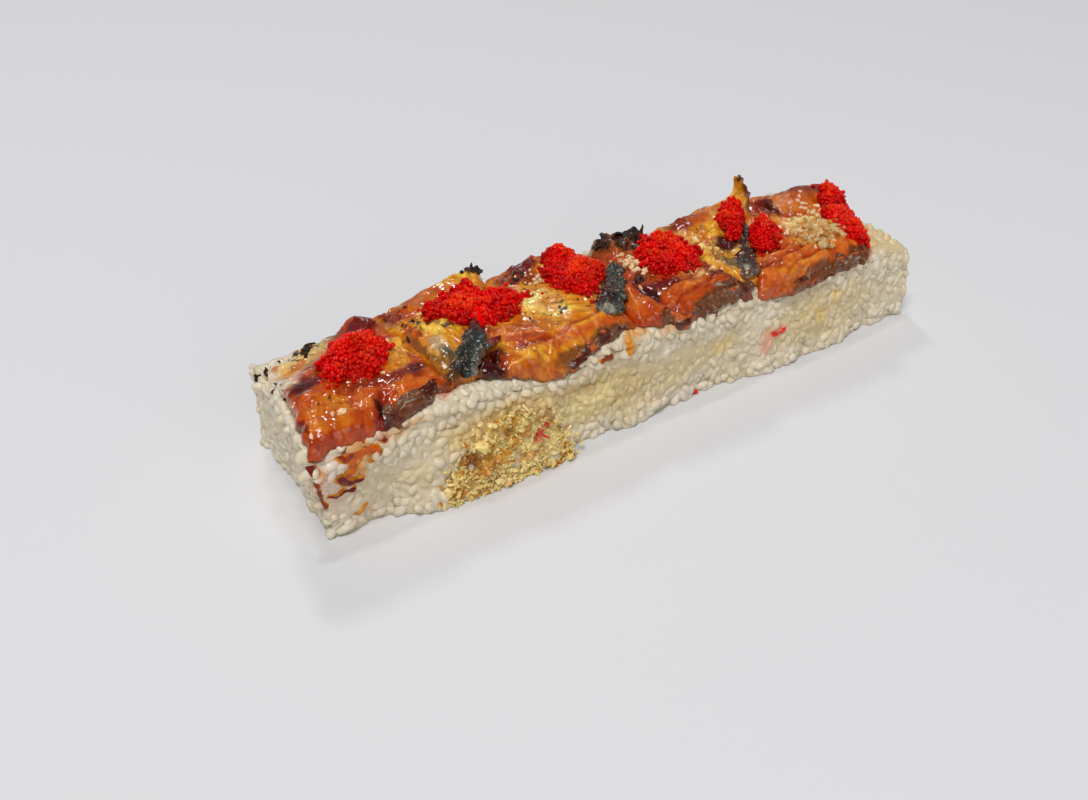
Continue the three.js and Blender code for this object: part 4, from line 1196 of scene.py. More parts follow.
SLICES = (EelSlice(
    1, 4.6, AMBER,
    swells=((-84, -21, 9, 6, 1.4), (-78, 15, 8, 7, 2), (-112, -12, 4, 12, 0.8), (-90, -25, 3, 7, -1.6),
            (-108, 9, 8, 9, -2.4)),
    curls=((-75, 21, 9, 8, 2.6),),
    patches=fields(
        (CREAM, -101, 20, 13, 9), (RICE, -107, 24, 6, 7, 0.8), (GOLD, -108, 9, 4.5, 5, 0.8),
        (AMBER, -103, 10, 5, 3.4, 0.8, 30), (CREAM, -106.5, 10, 1.8, 1.8), (CREAM, -110, 2, 2.4, 7, 0.8),
        (RUST, -99, 5, 4.5, 8, 0.7, -20), (MAROON, -108, -6, 7.5, 5, 1, 35),
        (WINE, -109, -8, 4.5, 3, 0.7, 30), (RUST, -99, -8, 4, 7, 0.7, -20), (ORANGE, -109, -20, 9, 7),
        (GOLD, -108, -19.5, 7, 5, 0.85), (GOLD, -111, -25.5, 7, 2.2, 0.8),
        (MAROON, -94, -16.5, 9, 3.2, 0.8, -8), (ORANGE, -99, -22, 4.4, 4, 0.8),
        (MAROON, -82, -17.5, 9, 4, 0.8, 22), (WINE, -78, -17, 4.5, 2.6, 0.7, 30),
        (YELLOW, -77.5, -3, 9, 4, 1, 60), (GOLD, -82, -10.5, 6, 3.4, 0.9, 45), (WINE, -94.5, -26, 2.4, 4),
        (ORANGE, -84, -23.4, 7.5, 1.9, 1, 14), (MAROON, -79, 15, 6, 9, 1, -20),
        (RUST, -88, 18, 5, 7, 0.8, -20), (MAROON, -117.4, -19, 1.0, 11, 0.8, 10),
    ),
    hides=fields(
        (BROWN, -84, -27, 12.5, 2.2, 0.95, 12), (CREAM, -102, 17, 15, 10, 0.8),
        (RICE, -111, 9, 4.4, 13, 0.85, 8), (RICE, -105, 21, 8, 5, 0.8), (GOLD, -106.5, 8, 3.6, 4.4, 0.75, 20),
        (AMBER, -103, 10.5, 4.4, 1.8, 0.75, 30), (GOLD, -97, 19, 5, 2, 0.6, 10),
        (AMBER, -108.5, 15, 1.8, 1.6, 0.7),
    ),
    creases=ridges(
        (((-97, -29), (-94.5, -25), (-92.5, -21.5)), 1.3, -1.5),
        (((-98, -17), (-93, -19.5), (-88.5, -21.3), (-91, -23)), 0.55, 0.6),
        (((-99.5, -25), (-98, -22.5), (-94, -20.8), (-90, -21.3)), 0.55, 0.5),
        (((-113, -18), (-112.5, -15), (-107, -13.5)), 0.6, 0.5),
        (((-111, -19), (-109.5, -16), (-110.5, -14)), 0.5, 0.4),
        (((-84, 13), (-80, 11.5), (-76, 15), (-79, 18)), 0.8, 0.9),
        (((-82, 8), (-78, 9.5), (-75, 7)), 0.7, 0.6), (((-97, -14), (-92, -15.5), (-87, -14)), 0.6, 0.4),
        (((-79, -12), (-76, -4), (-74, 4)), 0.8, 0.5), (((-86, -20.5), (-79, -19.5), (-74.5, -17)), 0.8, 0.5),
    ),
    burns=((-98, 17, 6, 0.3), (-110, 5, 3, 0.3), (-108, 23, 4, 0.22), (-79, -6, 4, 0.24),
           (-106, -20, 6, 0.13)),
    dry=((-103, 18, 10, 9, 0.5), (-77, -4, 6, 6, 0.3)),
    fibre=65,
), EelSlice(
    2, 4.0, GOLD,
    swells=((-48, 19, 15, 8, 3.4), (-69, 4, 5, 9, 1.6), (-63, -1, 4, 7, 1.4), (-66, -22, 7, 7, -1.4)),
    curls=((-37, 25, 9, 8, 5), (-54, 26, 8, 7, 1.6)),
    patches=fields(
        (PEACH, -58, 20, 7, 6), (ORANGE, -51, 17, 6, 5, 0.8), (YELLOW, -38, 23, 6, 5), (AMBER, -64, 17, 4, 7),
        (RUST, -69, 16, 2.4, 8), (CREAM, -61, 13, 1.6, 1.6), (YELLOW, -64, -1, 4, 6, 1, -20),
        (YELLOW, -58, 6, 4, 4, 0.7), (AMBER, -70.5, 2, 2, 7), (WINE, -60, -23, 5, 5),
        (RUST, -59, -20, 3, 1.6, 0.7, 40),
    ),
    hides=fields(
        (BROWN, -72.4, -10, 1.3, 13, 0.8), (SILVER_SPECK_AND_GLINT, -68, -11, 3, 6, 0.55, -10),
        (SLATE, -69, -17, 3, 6.5, 0.8, -10), (CHAR, -70.5, -22, 2.5, 4, 0.8, -20), (CHAR, -37, 25, 3, 3, 0.7),
    ),
    creases=ridges(
        (((-62.5, -1), (-66, -8), (-69, -17)), 3.4, 1.8),
        (((-66, 2.5), (-62.5, 3.6), (-59.5, 1)), 0.6, 0.7, 0.9),
        (((-63.5, 0.5), (-61, -1.5), (-59.5, -4)), 0.5, 0.5, 0.9),
        (((-71.5, 5), (-69, 6.5), (-67, 4.5), (-68, 0), (-70, -3)), 0.8, 1.0, 0.8),
        (((-66.5, 1), (-65, 6), (-60, 9.5)), 0.8, 1.2), (((-71, 8), (-67.5, 12), (-67, 20)), 0.9, 0.9),
        (((-64, 20), (-60, 15), (-61, 10)), 0.8, 0.6), (((-68, 7), (-63.5, 3), (-62, -6)), 0.7, -0.8),
        (((-66, 24), (-65, 18), (-68, 12)), 0.7, -0.8), (((-56, 22), (-46, 21), (-38, 23)), 1.2, 0.5),
    ),
    burns=((-66, 5, 5, 0.34), (-62, -4, 4, 0.3), (-66, 20, 5, 0.3), (-37, 24, 4, 0.5), (-71, 0, 4,
                                                                                        0.3)),
    dry=((-64, 0, 7, 9, 0.35), (-40, 21, 8, 6, 0.2)),
    fibre=70,
), EelSlice(
    3, 4.8, GOLD,
    swells=((-46, -20, 10, 7, 1.4), (-24, -23, 15, 3.5, 1.2), (-14, 19, 11, 8, 3), (-28, 2, 8, 10, 0.6),
            (-30, -29, 12, 3, -0.8)),
    curls=((-11, 25, 9, 7, 1.6),),
    patches=fields(
        (WINE, -57, -22, 4, 5), (AMBER, -54, -24.5, 3.4, 1.8, 0.7, 20), (MAROON, -52, -9, 4, 6, 1, 60),
        (ORANGE, -46, -15, 9, 8), (AMBER, -44, -20, 8, 4), (PEACH, -40, -12, 6, 5, 0.7, 30),
        (YELLOW, -27, -6, 10, 12), (GOLD, -20, 2, 6, 8, 0.8), (CREAM, -28, -3, 7, 9, 0.62),
        (GOLD, -28, -18, 9, 4), (RUST, -26, 14, 8, 6), (MAROON, -20, 19, 7, 5), (PEACH, -28, 20, 4, 5, 0.7),
        (AMBER, -8, 20, 8, 5), (GOLD, -2, 22, 5, 4), (ORANGE, -28, -24.6, 22, 2),
        (MAROON, -45, -22.5, 6, 1.8, 0.7, -4), (WINE, -12, -8, 3, 5, 0.8, 60),
    ),
    hides=fields(
        (BROWN, -34, -29.6, 8, 1.6, 0.8), (BROWN, -21, -28, 12, 2, 0.95, 7),
    ),
    creases=ridges(
        (((-55, -17), (-50, -20), (-43, -21.5), (-37, -20)), 0.6, 0.6),
        (((-59, -26), (-56, -22), (-52, -19)), 0.7, 0.8), (((-50, -12), (-46, -16), (-41, -17)), 0.6, 0.5),
        (((-54, -12), (-51, -8), (-48, -6)), 1.0, 1.0), (((-47, -24), (-41, -23), (-37, -24.5)), 0.5, 0.5),
        (((-44, -12), (-40, -15), (-38, -19)), 0.6, 0.5), (((-36, -14), (-35, -6), (-30, 4)), 0.8, 0.5),
        (((-48, -25.6), (-30, -23.6), (-12, -20.6)), 1.3, 0.7),
        (((-40, -22.5), (-28, -21), (-15, -18)), 1.0, -0.7), (((-30, 12), (-24, 16), (-22, 21)), 0.9, 0.9),
        (((-26, 10), (-20, 13), (-15, 20)), 0.8, 0.7),
    ),
    burns=((-30, 2, 5, 0.34), (-28, -12, 4, 0.34), (-35, -10, 4, 0.3), (-21, -17, 4, 0.3),
           (-26, 13, 6, 0.4), (-40, -14, 5, 0.2), (-22, -7, 7, 0.26), (-36, -3, 4, 0.32)),
    dry=((-27, -4, 9, 12, 0.38), (-24, 14, 7, 6, 0.2)),
    fibre=-35,
), EelSlice(
    4, 4.8, AMBER,
    swells=((10, -21, 10, 7, 1.6), (15, 16.5, 4, 4, 1.6), (22, 16, 4, 3.4, 1.8), (4, -26, 2.5, 8, -1.2),
            (28, -22, 8, 6, 0.8)),
    curls=((15, 22, 4, 6, 2.0), (24, 21, 4, 6, 2.0)),
    patches=fields(
        (ORANGE, -5, -18, 4, 7), (MAROON, 9, -17, 8, 5, 1, -10), (WINE, 2, -18, 2.2, 8, 1, -12),
        (ORANGE, 14, -22, 8, 2.6), (PEACH, 22, -16, 8, 3.4, 1, 8), (CREAM, 24, -18.4, 5, 1.4, 0.5, 10),
        (RUST, 12, -2, 5, 11, 1, -20), (BROWN, 31, -20, 5, 4), (RUST, 30, -12, 5, 6, 0.7),
        (CREAM, 10.5, 23, 2, 5), (GOLD, 32, 14, 3, 7, 0.6),
    ),
    hides=fields(
        (BROWN, 19, 17, 12, 9, 0.9), (CHAR, 20, 20, 10, 6, 0.9), (CHAR, 6.5, -9, 2, 3, 0.8),
        (BROWN, 4, -28.6, 7, 1.6, 0.9, -5), (BROWN, 24, -29, 14.5, 2.2, 0.95, 1),
    ),
    creases=ridges(
        (((3, -27), (2, -20), (3, -10)), 1.2, -1.2),
        (((5, -19), (9, -16.5), (14, -17.5), (18, -15)), 0.6, 0.6),
        (((6, -22.5), (10, -20.5), (15, -21)), 0.6, 0.5), (((16, -13), (20, -16), (27, -17)), 0.6, 0.5),
        (((22, -20.5), (28, -20), (33, -17.5)), 0.7, 0.5), (((-6, -23), (-3, -17), (0, -10)), 0.8, 0.6),
        (((2, -25.6), (14, -26.2), (22, -25)), 1.1, 0.6),
        (((5, -27), (12, -24.4), (20, -23.2), (31, -18.6)), 0.6, -0.7),
        (((9, -19.4), (17, -18.6), (25, -19.2), (32, -15)), 0.55, -0.6),
        (((18, -26), (26, -23.6), (35, -22.4)), 0.6, -0.5), (((13, 12), (14, 18), (12, 24)), 1.1, 1.1),
        (((18, 14), (22, 18), (27, 17)), 1.1, 1.2), (((17, 21), (23, 23), (28, 21)), 1.0, 1.1),
    ),
    burns=((20, 18, 10, 0.6), (6, -9, 3, 0.4), (30, -18, 5, 0.26), (24, -17, 6, 0.16)),
    dry=((20, 18, 9, 8, 0.6), (12, 0, 5, 9, 0.2)),
    fibre=20,
), EelSlice(
    5, 4.2, YELLOW,
    swells=((49, 15, 11, 8, 3.8), (63, 14, 7, 8, 2.4), (47, -6, 7, 6, -1.2)),
    curls=((62, 20, 9, 8, 1.4),),
    patches=fields(
        (RUST, 44, 14, 6, 7), (RUST, 45, 18, 8, 4.5, 0.8, 10), (AMBER, 50, 15, 6, 6, 0.9),
        (ORANGE, 56, 18, 5, 5, 0.8), (GOLD, 62, 15, 5, 6), (GOLD, 48, 7, 8, 3.4, 0.8),
        (CREAM, 39, 2, 4, 7, 0.7), (PEACH, 43, 3, 3, 3, 0.6), (WINE, 50, -2, 8, 5, 1, 20),
    ),
    hides=fields(
        (SLATE, 40, -16, 4, 6, 0.8), (BROWN, 40, -8, 3, 5, 0.6, -30),
    ),
    creases=ridges(
        (((36, -10), (39, -2), (42, 6)), 0.8, 0.8), (((38, -12), (43, -5), (45, 3)), 0.8, 0.7),
        (((40, 9), (45, 6), (50, 5)), 0.7, 0.7), (((42, 16), (48, 19), (56, 20)), 1.2, 0.5),
        (((37, 4), (41, 1), (44, -3)), 0.6, -0.6),
    ),
    burns=((41, -2, 6, 0.26), (44, 8, 5, 0.24), (40, -10, 4, 0.3), (67, 16, 4, 0.4)),
    dry=((41, 0, 5, 9, 0.4), (60, 14, 6, 6, 0.1)),
    front=-25.5,
    fibre=50,
), EelSlice(
    6, 4.8, ORANGE,
    swells=((54, -24, 11, 6, 1), (94, 8, 13, 7, 4.6), (104, 0, 6, 6, 2), (73, 1, 2.6, 12, -1.6),
            (76, -17, 11, 8, -1)),
    curls=((107, 1, 7, 8, 4.4),),
    patches=fields(
        (DUSK, 95, 11, 12, 8, 1, -10), (MAROON, 96, 15, 11, 4, 0.7, -12), (PEACH, 84, 4, 7, 6, 1, 20),
        (GOLD, 83, 1, 5, 3.4, 0.6, 10), (RUST, 75, 8, 4, 9, 1, -20), (GOLD, 74, -1, 3, 5, 0.7),
        (WINE, 77.5, 6, 1.8, 7, 0.9, -10), (CREAM, 80, -9, 11, 7, 0.9, -10), (YELLOW, 75, -18, 9, 6, 0.8),
        (AMBER, 58, -17, 8, 8, 1, 40), (ORANGE, 60, -22, 14, 4.4), (RUST, 49, -22, 4, 4, 0.7),
        (PEACH, 70, -22, 5, 3, 0.6), (GOLD, 58, -27, 12, 1.3, 0.7, 2), (WINE, 106, 9, 3.5, 7),
        (MAROON, 88, -22, 4, 3, 0.8, 30),
    ),
    hides=fields(
        (BROWN, 62, -30.6, 14, 1.8, 0.9), (BROWN, 81, -30, 14, 2.2, 0.95, 3),
        (BROWN, 92, -24, 3, 5, 0.8, -25),
    ),
    creases=ridges(
        (((77, 14), (76.5, 6), (79, 0), (84, -3)), 1.1, -1.2),
        (((49, -20), (53, -18), (58, -20), (62, -18)), 0.6, 0.6),
        (((50, -24), (55, -23), (61, -24.5)), 0.6, 0.5), (((56, -14), (60, -16), (66, -15)), 0.6, 0.5),
        (((62, -21), (67, -22.5), (72, -21)), 0.6, 0.4), (((47, -27.6), (58, -27.6), (70, -26.6)), 1.2, 0.6),
        (((88, 0), (92, -4), (93, -9)), 0.9, 0.7),
        (((47, -23), (55, -20.6), (64, -21), (70, -18)), 0.6, -0.7),
        (((52, -28), (60, -25.4), (68, -25.6), (76, -23)), 0.6, -0.6),
        (((54, -15), (59, -18), (64, -17)), 0.5, -0.5), (((84, -6), (86, -12), (85, -18)), 0.9, 0.6),
        (((94, 14), (102, 9), (107, 3)), 1.0, 0.5),
    ),
    burns=((86, -10, 7, 0.26), (76, -14, 9, 0.22), (57, -21, 8, 0.12), (90, -20, 5, 0.3), (72, 4, 5,
                                                                                           0.2)),
    dry=((79, -13, 10, 9, 0.5), (94, 10, 9, 6, 0.1)),
    fibre=15,
))


@dataclass(frozen=True)
class SkinEdge:
    """A stretch of rough skin that shows below a slice's flesh along its front edge."""

    slice_number: int
    start: float
    end: float
    height: float = 3.8
    depth: float = 4.0
    stand: float = 0.9  # how far it stands out in front of the flesh

    def shell(self) -> Shell:
        """A bar with a rounded section carried along the front edge, wrinkled all over.

        Its section is the boxy oval (|cos|^0.5, |sin|^0.5), each with its own sign, half its
        height over the slice's seat. It shrinks towards both ends.

        Returns:
            The closed bar.
        """
        slice_ = SLICES[self.slice_number - 1]
        t = np.linspace(0, 1, int((self.end - self.start) / 0.26))[:, None]
        angle = 2 * np.pi * np.arange(60) / 60
        cos, sin = (np.sign(wave) * np.abs(wave) ** 0.5 for wave in (np.cos(angle), np.sin(angle)))
        x = self.start + (self.end - self.start) * t
        front = slice_.ends(x)[0]
        seat = slice_.seat(x, front + 1.5)
        size = np.sqrt(np.clip(1 - np.abs(2 * t - 1) ** 3, 0.01, 1)) * (1 + 0.3 * noise(x / 5, 7.0, 1.0))
        lean = 0.8 * (1 + sin)
        y = front - self.stand + self.depth / 2 * (1 + cos * size) + lean
        z = seat - 0.5 + self.height / 2 * (1 + sin * size)
        rings = np.stack([x + 0 * y, y, z], -1)
        creased = 0.3 * rough(rings, 2.2, self.slice_number, 3) + 0.5 * noise(x / 4.5, angle * 2.2, 3.0)
        out = points_of(0 * y, np.cos(angle), np.sin(angle))
        rings = rings + out * (creased * np.clip(size, 0, 1))[..., None]
        points, triangles = loft(rings)
        high = points[:, 2] - slice_.seat(points[:, 0], points[:, 1])
        grain = rough(points * (0.4, 1, 1), 1.3, 9)
        tint = mixed(BROWN, SKIN, np.clip(0.25 + 0.7 * grain, 0, 1))
        for share, tone in (
            (0.8 * ease(lumps(points, 4, 5), 0.0, 0.4), WINE),
            (0.6 * ease(lumps(points * (0.5, 1, 1), 1.2, 3), 0.5, 0.75), SILVER_SPECK_AND_GLINT),
            (0.9 * ease(high + 0.7 * lumps(points, 3, 8), 1.04 * self.height, 1.2 * self.height), AMBER),
        ):
            tint = laid(tint, tone, share)
        return Shell.of(points, triangles, tint, 0.75 + 0.25 * lumps(points, 3, 2))


SKIN_EDGES = (
    SkinEdge(1, -95.5, -73, 4.6),
    SkinEdge(3, -38, -10, 3.2),
    SkinEdge(4, -2, 12, 2.8),
    SkinEdge(4, 9, 38.5, 4.8),
    SkinEdge(6, 50, 93, 4.0),
)


def eel_top(plan: Array) -> Array:
    """Height of the highest slice at each place in plan, or of the bare rice."""
    x, y = plan[..., 0], plan[..., 1]
    height = RICE_LOG.top(x, y)
    for slice_ in SLICES:
        u, v = slice_.shares(x, y)
        inside = (u >= 0) & (u <= 1) & (v >= 0) & (v <= 1)
        height = np.where(inside, np.maximum(height, slice_.top(x, y)), height)
    return height


def rest_top(plan: Array) -> Array:
    """Height at which something broad rests on the slices, over the dips between them."""
    reach = 2.2
    around = ((0, 0), (reach, 0), (-reach, 0), (0, reach), (0, -reach))
    return np.max([eel_top(plan + shift) for shift in around], axis=0) + SEAT


@dataclass
class StandingCorner:
    """The pointed corner of slice 5, a leaf of flesh that curls up at the back."""

    foot: float = 33.0
    top: float = 47.2
    y: float = 16.0
    thickness: float = 2.4
    left_side: Pairs = ((33, 54), (37.6, 56.5), (38.7, 61.9), (40, 65.4), (41.8, 67.4), (46.5, 67.6),
                        (47.2, 68))  # (z, x) knots
    right_side: Pairs = ((33, 72), (38.5, 73), (40.6, 73.4), (42.6, 72.6), (45.1, 70.8), (47.2, 69.2))

    def build(self) -> None:
        """Makes the leaf: between a hollow left edge and a steep right one, thinning upwards."""
        s, t = np.meshgrid(np.linspace(0, 1, 44), np.linspace(0, 1, 80), indexing="ij")
        z = self.foot + (self.top - self.foot) * t
        x = follow(self.left_side, z) * (1 - s) + follow(self.right_side, z) * s
        z = z + 0.3 * noise(5 * s, 0 * s, 3 * t) * t
        bend = self.y - 4.5 * ease(s, 0.5, 1) * (1 - t) - 0.8 * np.sin(np.pi * s)
        bend = bend + 0.5 * noise(3 * s, 4 * t, 2.0)
        round_ = np.sqrt(np.clip(1 - np.abs(2 * s - 1) ** 4, 0, 1)) * np.sqrt(1 - t**6)
        half = self.thickness / 2 * (1 - 0.5 * t) * round_
        ragged = 0.6 * noise(0, 16 * t, 1.0) + 0.3 * noise(0, 40 * t, 1.0)
        ragged = ragged * ease(s, 0.7, 1) * ease(t, 0, 0.3)
        front = np.stack([x + ragged, bend - half, z], -1)
        back = np.stack([x + ragged, bend + half, z], -1)
        points, triangles, _ = slab(front, back)
        patches = fields(
            (ORANGE, 60, 36, 6, 5, 0.7), (YELLOW, 66, 40, 3, 5, 0.8, -20), (BROWN, 71.6, 41, 1.8, 7, 0.9, 20),
            (CHAR, 72.4, 42, 1.1, 5, 0.9, 25), (CHAR, 68.8, 47.2, 2.2, 1.4), (SKIN, 72.6, 37, 1.8, 5, 0.9),
        )
        tint = paint(GOLD.linear, patches, points[:, [0, 2]], points)
        tint = tint * (1 + 0.12 * lumps(points, 1.1, 2))[:, None]
        Shell.of(points, triangles, tint, 0.75).object("standing_corner", EEL_FINISH, "eel", "eel_slice_5")


@dataclass(frozen=True)
class BurntFlap:
    """A crumpled burnt leaf of flesh that stands up at a slice's back edge."""

    line: tuple[tuple[float, float, float, float], ...]  # (x, y, foot, height) along it
    thickness: float = 1.9

    def shell(self) -> Shell:
        """A leaf over its line, jagged along its top and crumpled by noise.

        Returns:
            The closed leaf.
        """
        s, t = np.meshgrid(np.linspace(0, 1, 96), np.linspace(0, 1, 44), indexing="ij")
        x, y, foot, height = along_knots(self.line, s)
        height = height * (1 + 0.22 * noise(x / 1.7, 2.0, 1.0) + 0.1 * noise(x / 0.7, 2.0, 4.0))
        z = foot + height * t
        crumple = 1.5 * noise(x / 2.6, z / 2.4, 3.0) + 0.6 * noise(x / 1.1, z / 1.1, 6.0)
        middle = np.stack([x + 0.5 * noise(x, z, 9.0), y + crumple - 1.2 * np.sin(2.4 * t), z], -1)
        half = self.thickness / 2 * np.sqrt(np.clip((1 - (2 * s - 1) ** 8) * (1 - t**6), 0, 1))
        shift = np.stack([0 * half, half, 0 * half], -1)
        points, triangles, _ = slab(middle - shift, middle + shift)
        tint = mixed(CHAR, BROWN, np.clip(0.3 + 0.9 * lumps(points, 2.2, 3), 0, 1))
        tint = laid(tint, TOAST, 0.6 * ease(lumps(points, 3.4, 8), 0.3, 0.6))
        return Shell.of(points, triangles, tint, 0.5)


BURNT_FLAPS = (
    BurntFlap(((11, 20.5, 33, 2.0), (14, 21.5, 33, 4.4), (18, 20, 32.6, 5.0), (23, 19, 32.2, 5.6),
               (28.6, 19.5, 30.5, 7.4))),
    BurntFlap(((14, 17, 33.4, 1.6), (18, 16, 33.2, 2.8), (23, 16.5, 33, 2.4), (27, 15, 32.8, 1.6)), 1.0),
    BurntFlap(((-40, 24.5, 34, 1.6), (-37, 23.2, 34.4, 2.4), (-34, 24, 33, 1.8)), 1.0),
)


@dataclass
class SkinFold:
    """A strip of dark skin that lies over the join of two slices."""

    number: int
    line: tuple[tuple[float, float, float, float], ...]  # (x, y, half-width, height)
    patches: tuple[Patch, ...]
    stands_for: int = 0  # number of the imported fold, where it isn't its own
    sunk: float = 0.0  # how far it has settled between the slices
    section: Pairs = ((-1, 0.1), (-0.5, 0), (0.5, 0), (1, 0.1), (0.72, 0.55), (0.2, 1), (-0.15, 0.62),
                      (-0.7, 0.5), (-1, 0.1))  # its closed outline, as shares of half-width and height

    def build(self) -> None:
        """Makes the strip: a roof-shaped section carried along its line, with grooves along it."""
        t = np.linspace(0, 1, 90)
        x, y, width, height = along_knots(self.line, t)
        width = width * np.sqrt(np.clip(1 - np.abs(2 * t - 1) ** 10, 0.03, 1))
        heading = np.arctan2(np.gradient(y), np.gradient(x))
        across, up = along_knots(self.section, np.linspace(0, 1, 64, endpoint=False))
        px = x[:, None] - np.sin(heading)[:, None] * across * width[:, None]
        py = y[:, None] + np.cos(heading)[:, None] * across * width[:, None]
        z = rest_top(np.stack([x, y], -1))[:, None] - self.sunk + up * height[:, None]
        rings = np.stack([px, py, z], -1)
        flat = rings.reshape(-1, 3)
        grooves = 0.5 * noise(across * 3.2 + 4, t[:, None] * 5, self.number * 1.0)
        wrinkles = (0.35 * rough(flat, 2.2, self.number)).reshape(grooves.shape)
        rings[..., 2] += (grooves + wrinkles) * ease(up, 0.1, 0.5) * np.clip(width / 4, 0.2, 1)[:, None]
        ragged = 0.9 * noise(x[:, None] / 2.2, y[:, None] / 2.2, np.sign(across) * 2.0) * np.abs(across)
        rings[..., 0] += ragged * -np.sin(heading)[:, None] * np.sign(across)
        rings[..., 1] += ragged * np.cos(heading)[:, None] * np.sign(across)
        points, triangles = loft(rings)
        tint = paint(SLATE.linear, self.patches, points[:, :2], points)
        tint = tint * (1 + 0.35 * lumps(points, 1.6, 5))[:, None]
        tint = laid(tint, SILVER_SPECK_AND_GLINT, 0.4 * ease(rough(points, 1.1, 3), 0.45, 0.8))
        shell = Shell.of(points, triangles, tint, 0.85)
        node = f"skin_fold_{self.stands_for or self.number}"
        shell.object(f"dark_fold_{self.number}", SKIN_FINISH, "skin", node)


FOLDS = (
    SkinFold(1, ((-69, -25.6, 2.2, 1.2), (-66, -21.8, 3.8, 2.0), (-61.8, -17, 4.4, 2.4),
                 (-57.6, -12.2, 3.6, 2.4), (-53.4, -6.4, 2.0, 2.8), (-50, -1.6, 1.4, 3.6), (-48, 1.2, 1.4,
                                                                                            4.2)),
             fields((CHAR, -67, -21, 1.3, 8, 0.8, -45), (SILVER_SPECK_AND_GLINT, -66, -26, 2, 5, 0.4, -38),
              (SKIN, -62, -22, 2, 5, 0.6, -42), (CHAR, -49, 0, 3, 4, 0.9, -35),
              (WINE, -52.5, -6, 2.4, 2, 0.7, -35))),
    SkinFold(2, ((-17.5, -23, 3.8, 1.4), (-13, -18, 4.8, 1.8), (-7, -11.5, 4.2, 2.0), (-1, -5, 3.4, 2.2),
                 (3.5, 0.5, 3.0, 2.4), (7, 5, 2.6, 2.0)),
             # The pale patch at (-16, -21) is a painted highlight on the wet skin.
             fields((CHAR, -9, -14.5, 2.6, 6, 0.8, -45), (SILVER_SPECK_AND_GLINT, -16, -21, 2.4, 2.4, 0.6),
              (WINE, -13, -12, 3, 6, 0.8, -45), (SKIN, -18, -24, 4, 2, 0.5)), sunk=0.5),
    SkinFold(3, ((36, -24.5, 2.6, 0.6), (39.5, -21, 4.4, 1.2), (44.5, -16, 4.6, 1.4),
                 (49.5, -10.5, 2.8, 1.6),
                 (54.6, -5, 1.7, 1.3), (59.5, 0, 1.5, 1.4), (63.5, 4.4, 1.3, 1.6)),
             fields((SKIN, 38, -21, 8, 6, 0.7, 40), (SLATE, 43, -18, 4.4, 5.4, 0.9, -45),
              # The small pale patch at (40, -21) is a painted highlight on the wet skin.
              (WINE, 44, -9.5, 5.5, 4.5, 0.95, -45), (SILVER_SPECK_AND_GLINT, 40, -21, 1.4, 1.4, 0.8, 20),
              (BROWN, 34, -24, 5, 3, 0.6, -20), (CHAR, 56, -2, 1.4, 8, 0.7, -40)), sunk=0.9),
    SkinFold(4, ((-60.5, -15.5, 1.2, 2.0), (-57.5, -16.8, 1.1, 2.2), (-54.5, -17.8, 1.0, 2.0),
                 (-52, -17.6, 0.9, 1.6)),
             fields((MAROON, -54, -17, 3.4, 3, 0.9), (CHAR, -58, -17.5, 3, 1, 0.6, -20)),
             stands_for=1),
)


def beside_folds(plan: Array) -> Array:
    """Whether each place lies clear of every fold, by its distance to the stretches of their lines."""
    gaps = [gap - nearest[:, 2] for fold in FOLDS for gap, nearest in stretches(plan, fold.line)]
    return np.min(gaps, axis=0) > 0.1


@dataclass
class Heap:
    """A loose heap with an uneven outline, resting on the slices."""

    x: float
    y: float
    half_length: float
    half_width: float
    turn: float
    height: float

    def place(self, share: Array, angle: Array) -> Array:
        """Plan places at a share of the way to the heap's uneven rim, in a given direction."""
        uneven = sum(height * noise(count * np.cos(angle) + self.x, count * np.sin(angle), self.y)
                     for count, height in ((2, 0.15), (5, 0.2), (11, 0.16))) + 0.98
        local = np.stack([self.half_length * share * uneven * np.cos(angle),
                          self.half_width * share * uneven * np.sin(angle)], -1)
        return turned(local, self.turn) + np.array([self.x, self.y])

    def dome(self, share: Array, plan: Array) -> Array:
        """Height of the heap over what it lies on: a flat-topped dome with clumps."""
        x, y = plan[..., 0], plan[..., 1]
        clumps = 0.82 + 0.38 * noise(x / 5, y / 5, 8.0)
        bumps = 1.5 * noise(x / 3.0, y / 3.0, 5.0) + 0.5 * noise(x / 1.3, y / 1.3, 2.0)
        return np.maximum(self.height * np.sqrt(np.clip(1 - share**2.4, 0, 1)) * clumps + bumps, 0.45)

    def core(self, inset: float, tone: Tone) -> Shell:
        """The heap's own body, a little under its surface.

        Args:
            inset: How far it lies under the heap's surface.
            tone: Its colour.

        Returns:
            The closed body.
        """
        angle = 2 * np.pi * np.arange(90) / 90
        shares = np.concatenate([np.linspace(0.03, 1, 34), [0.9, 0.5]])
        plan = self.place(shares[:, None], angle[None])
        ground = rest_top(plan) - 0.6
        rise = np.maximum(self.dome(shares[:, None], plan) - inset, 0.25)
        rise[-2:] = 0
        rings = raised(plan, ground + rise)
        points, triangles = loft(rings)
        return Shell.of(points, triangles, tone.linear, 0.6)

    def spots(self, random: np.random.Generator, count: int) -> tuple[Array, Array]:
        """Evenly spread (share, angle) places over the heap, on a sunflower's spiral."""
        i = np.arange(count)
        share = np.sqrt((i + random.uniform(0.1, 0.9, count)) / count)
        return share, i * GOLDEN_ANGLE + random.uniform(-0.15, 0.15, count)


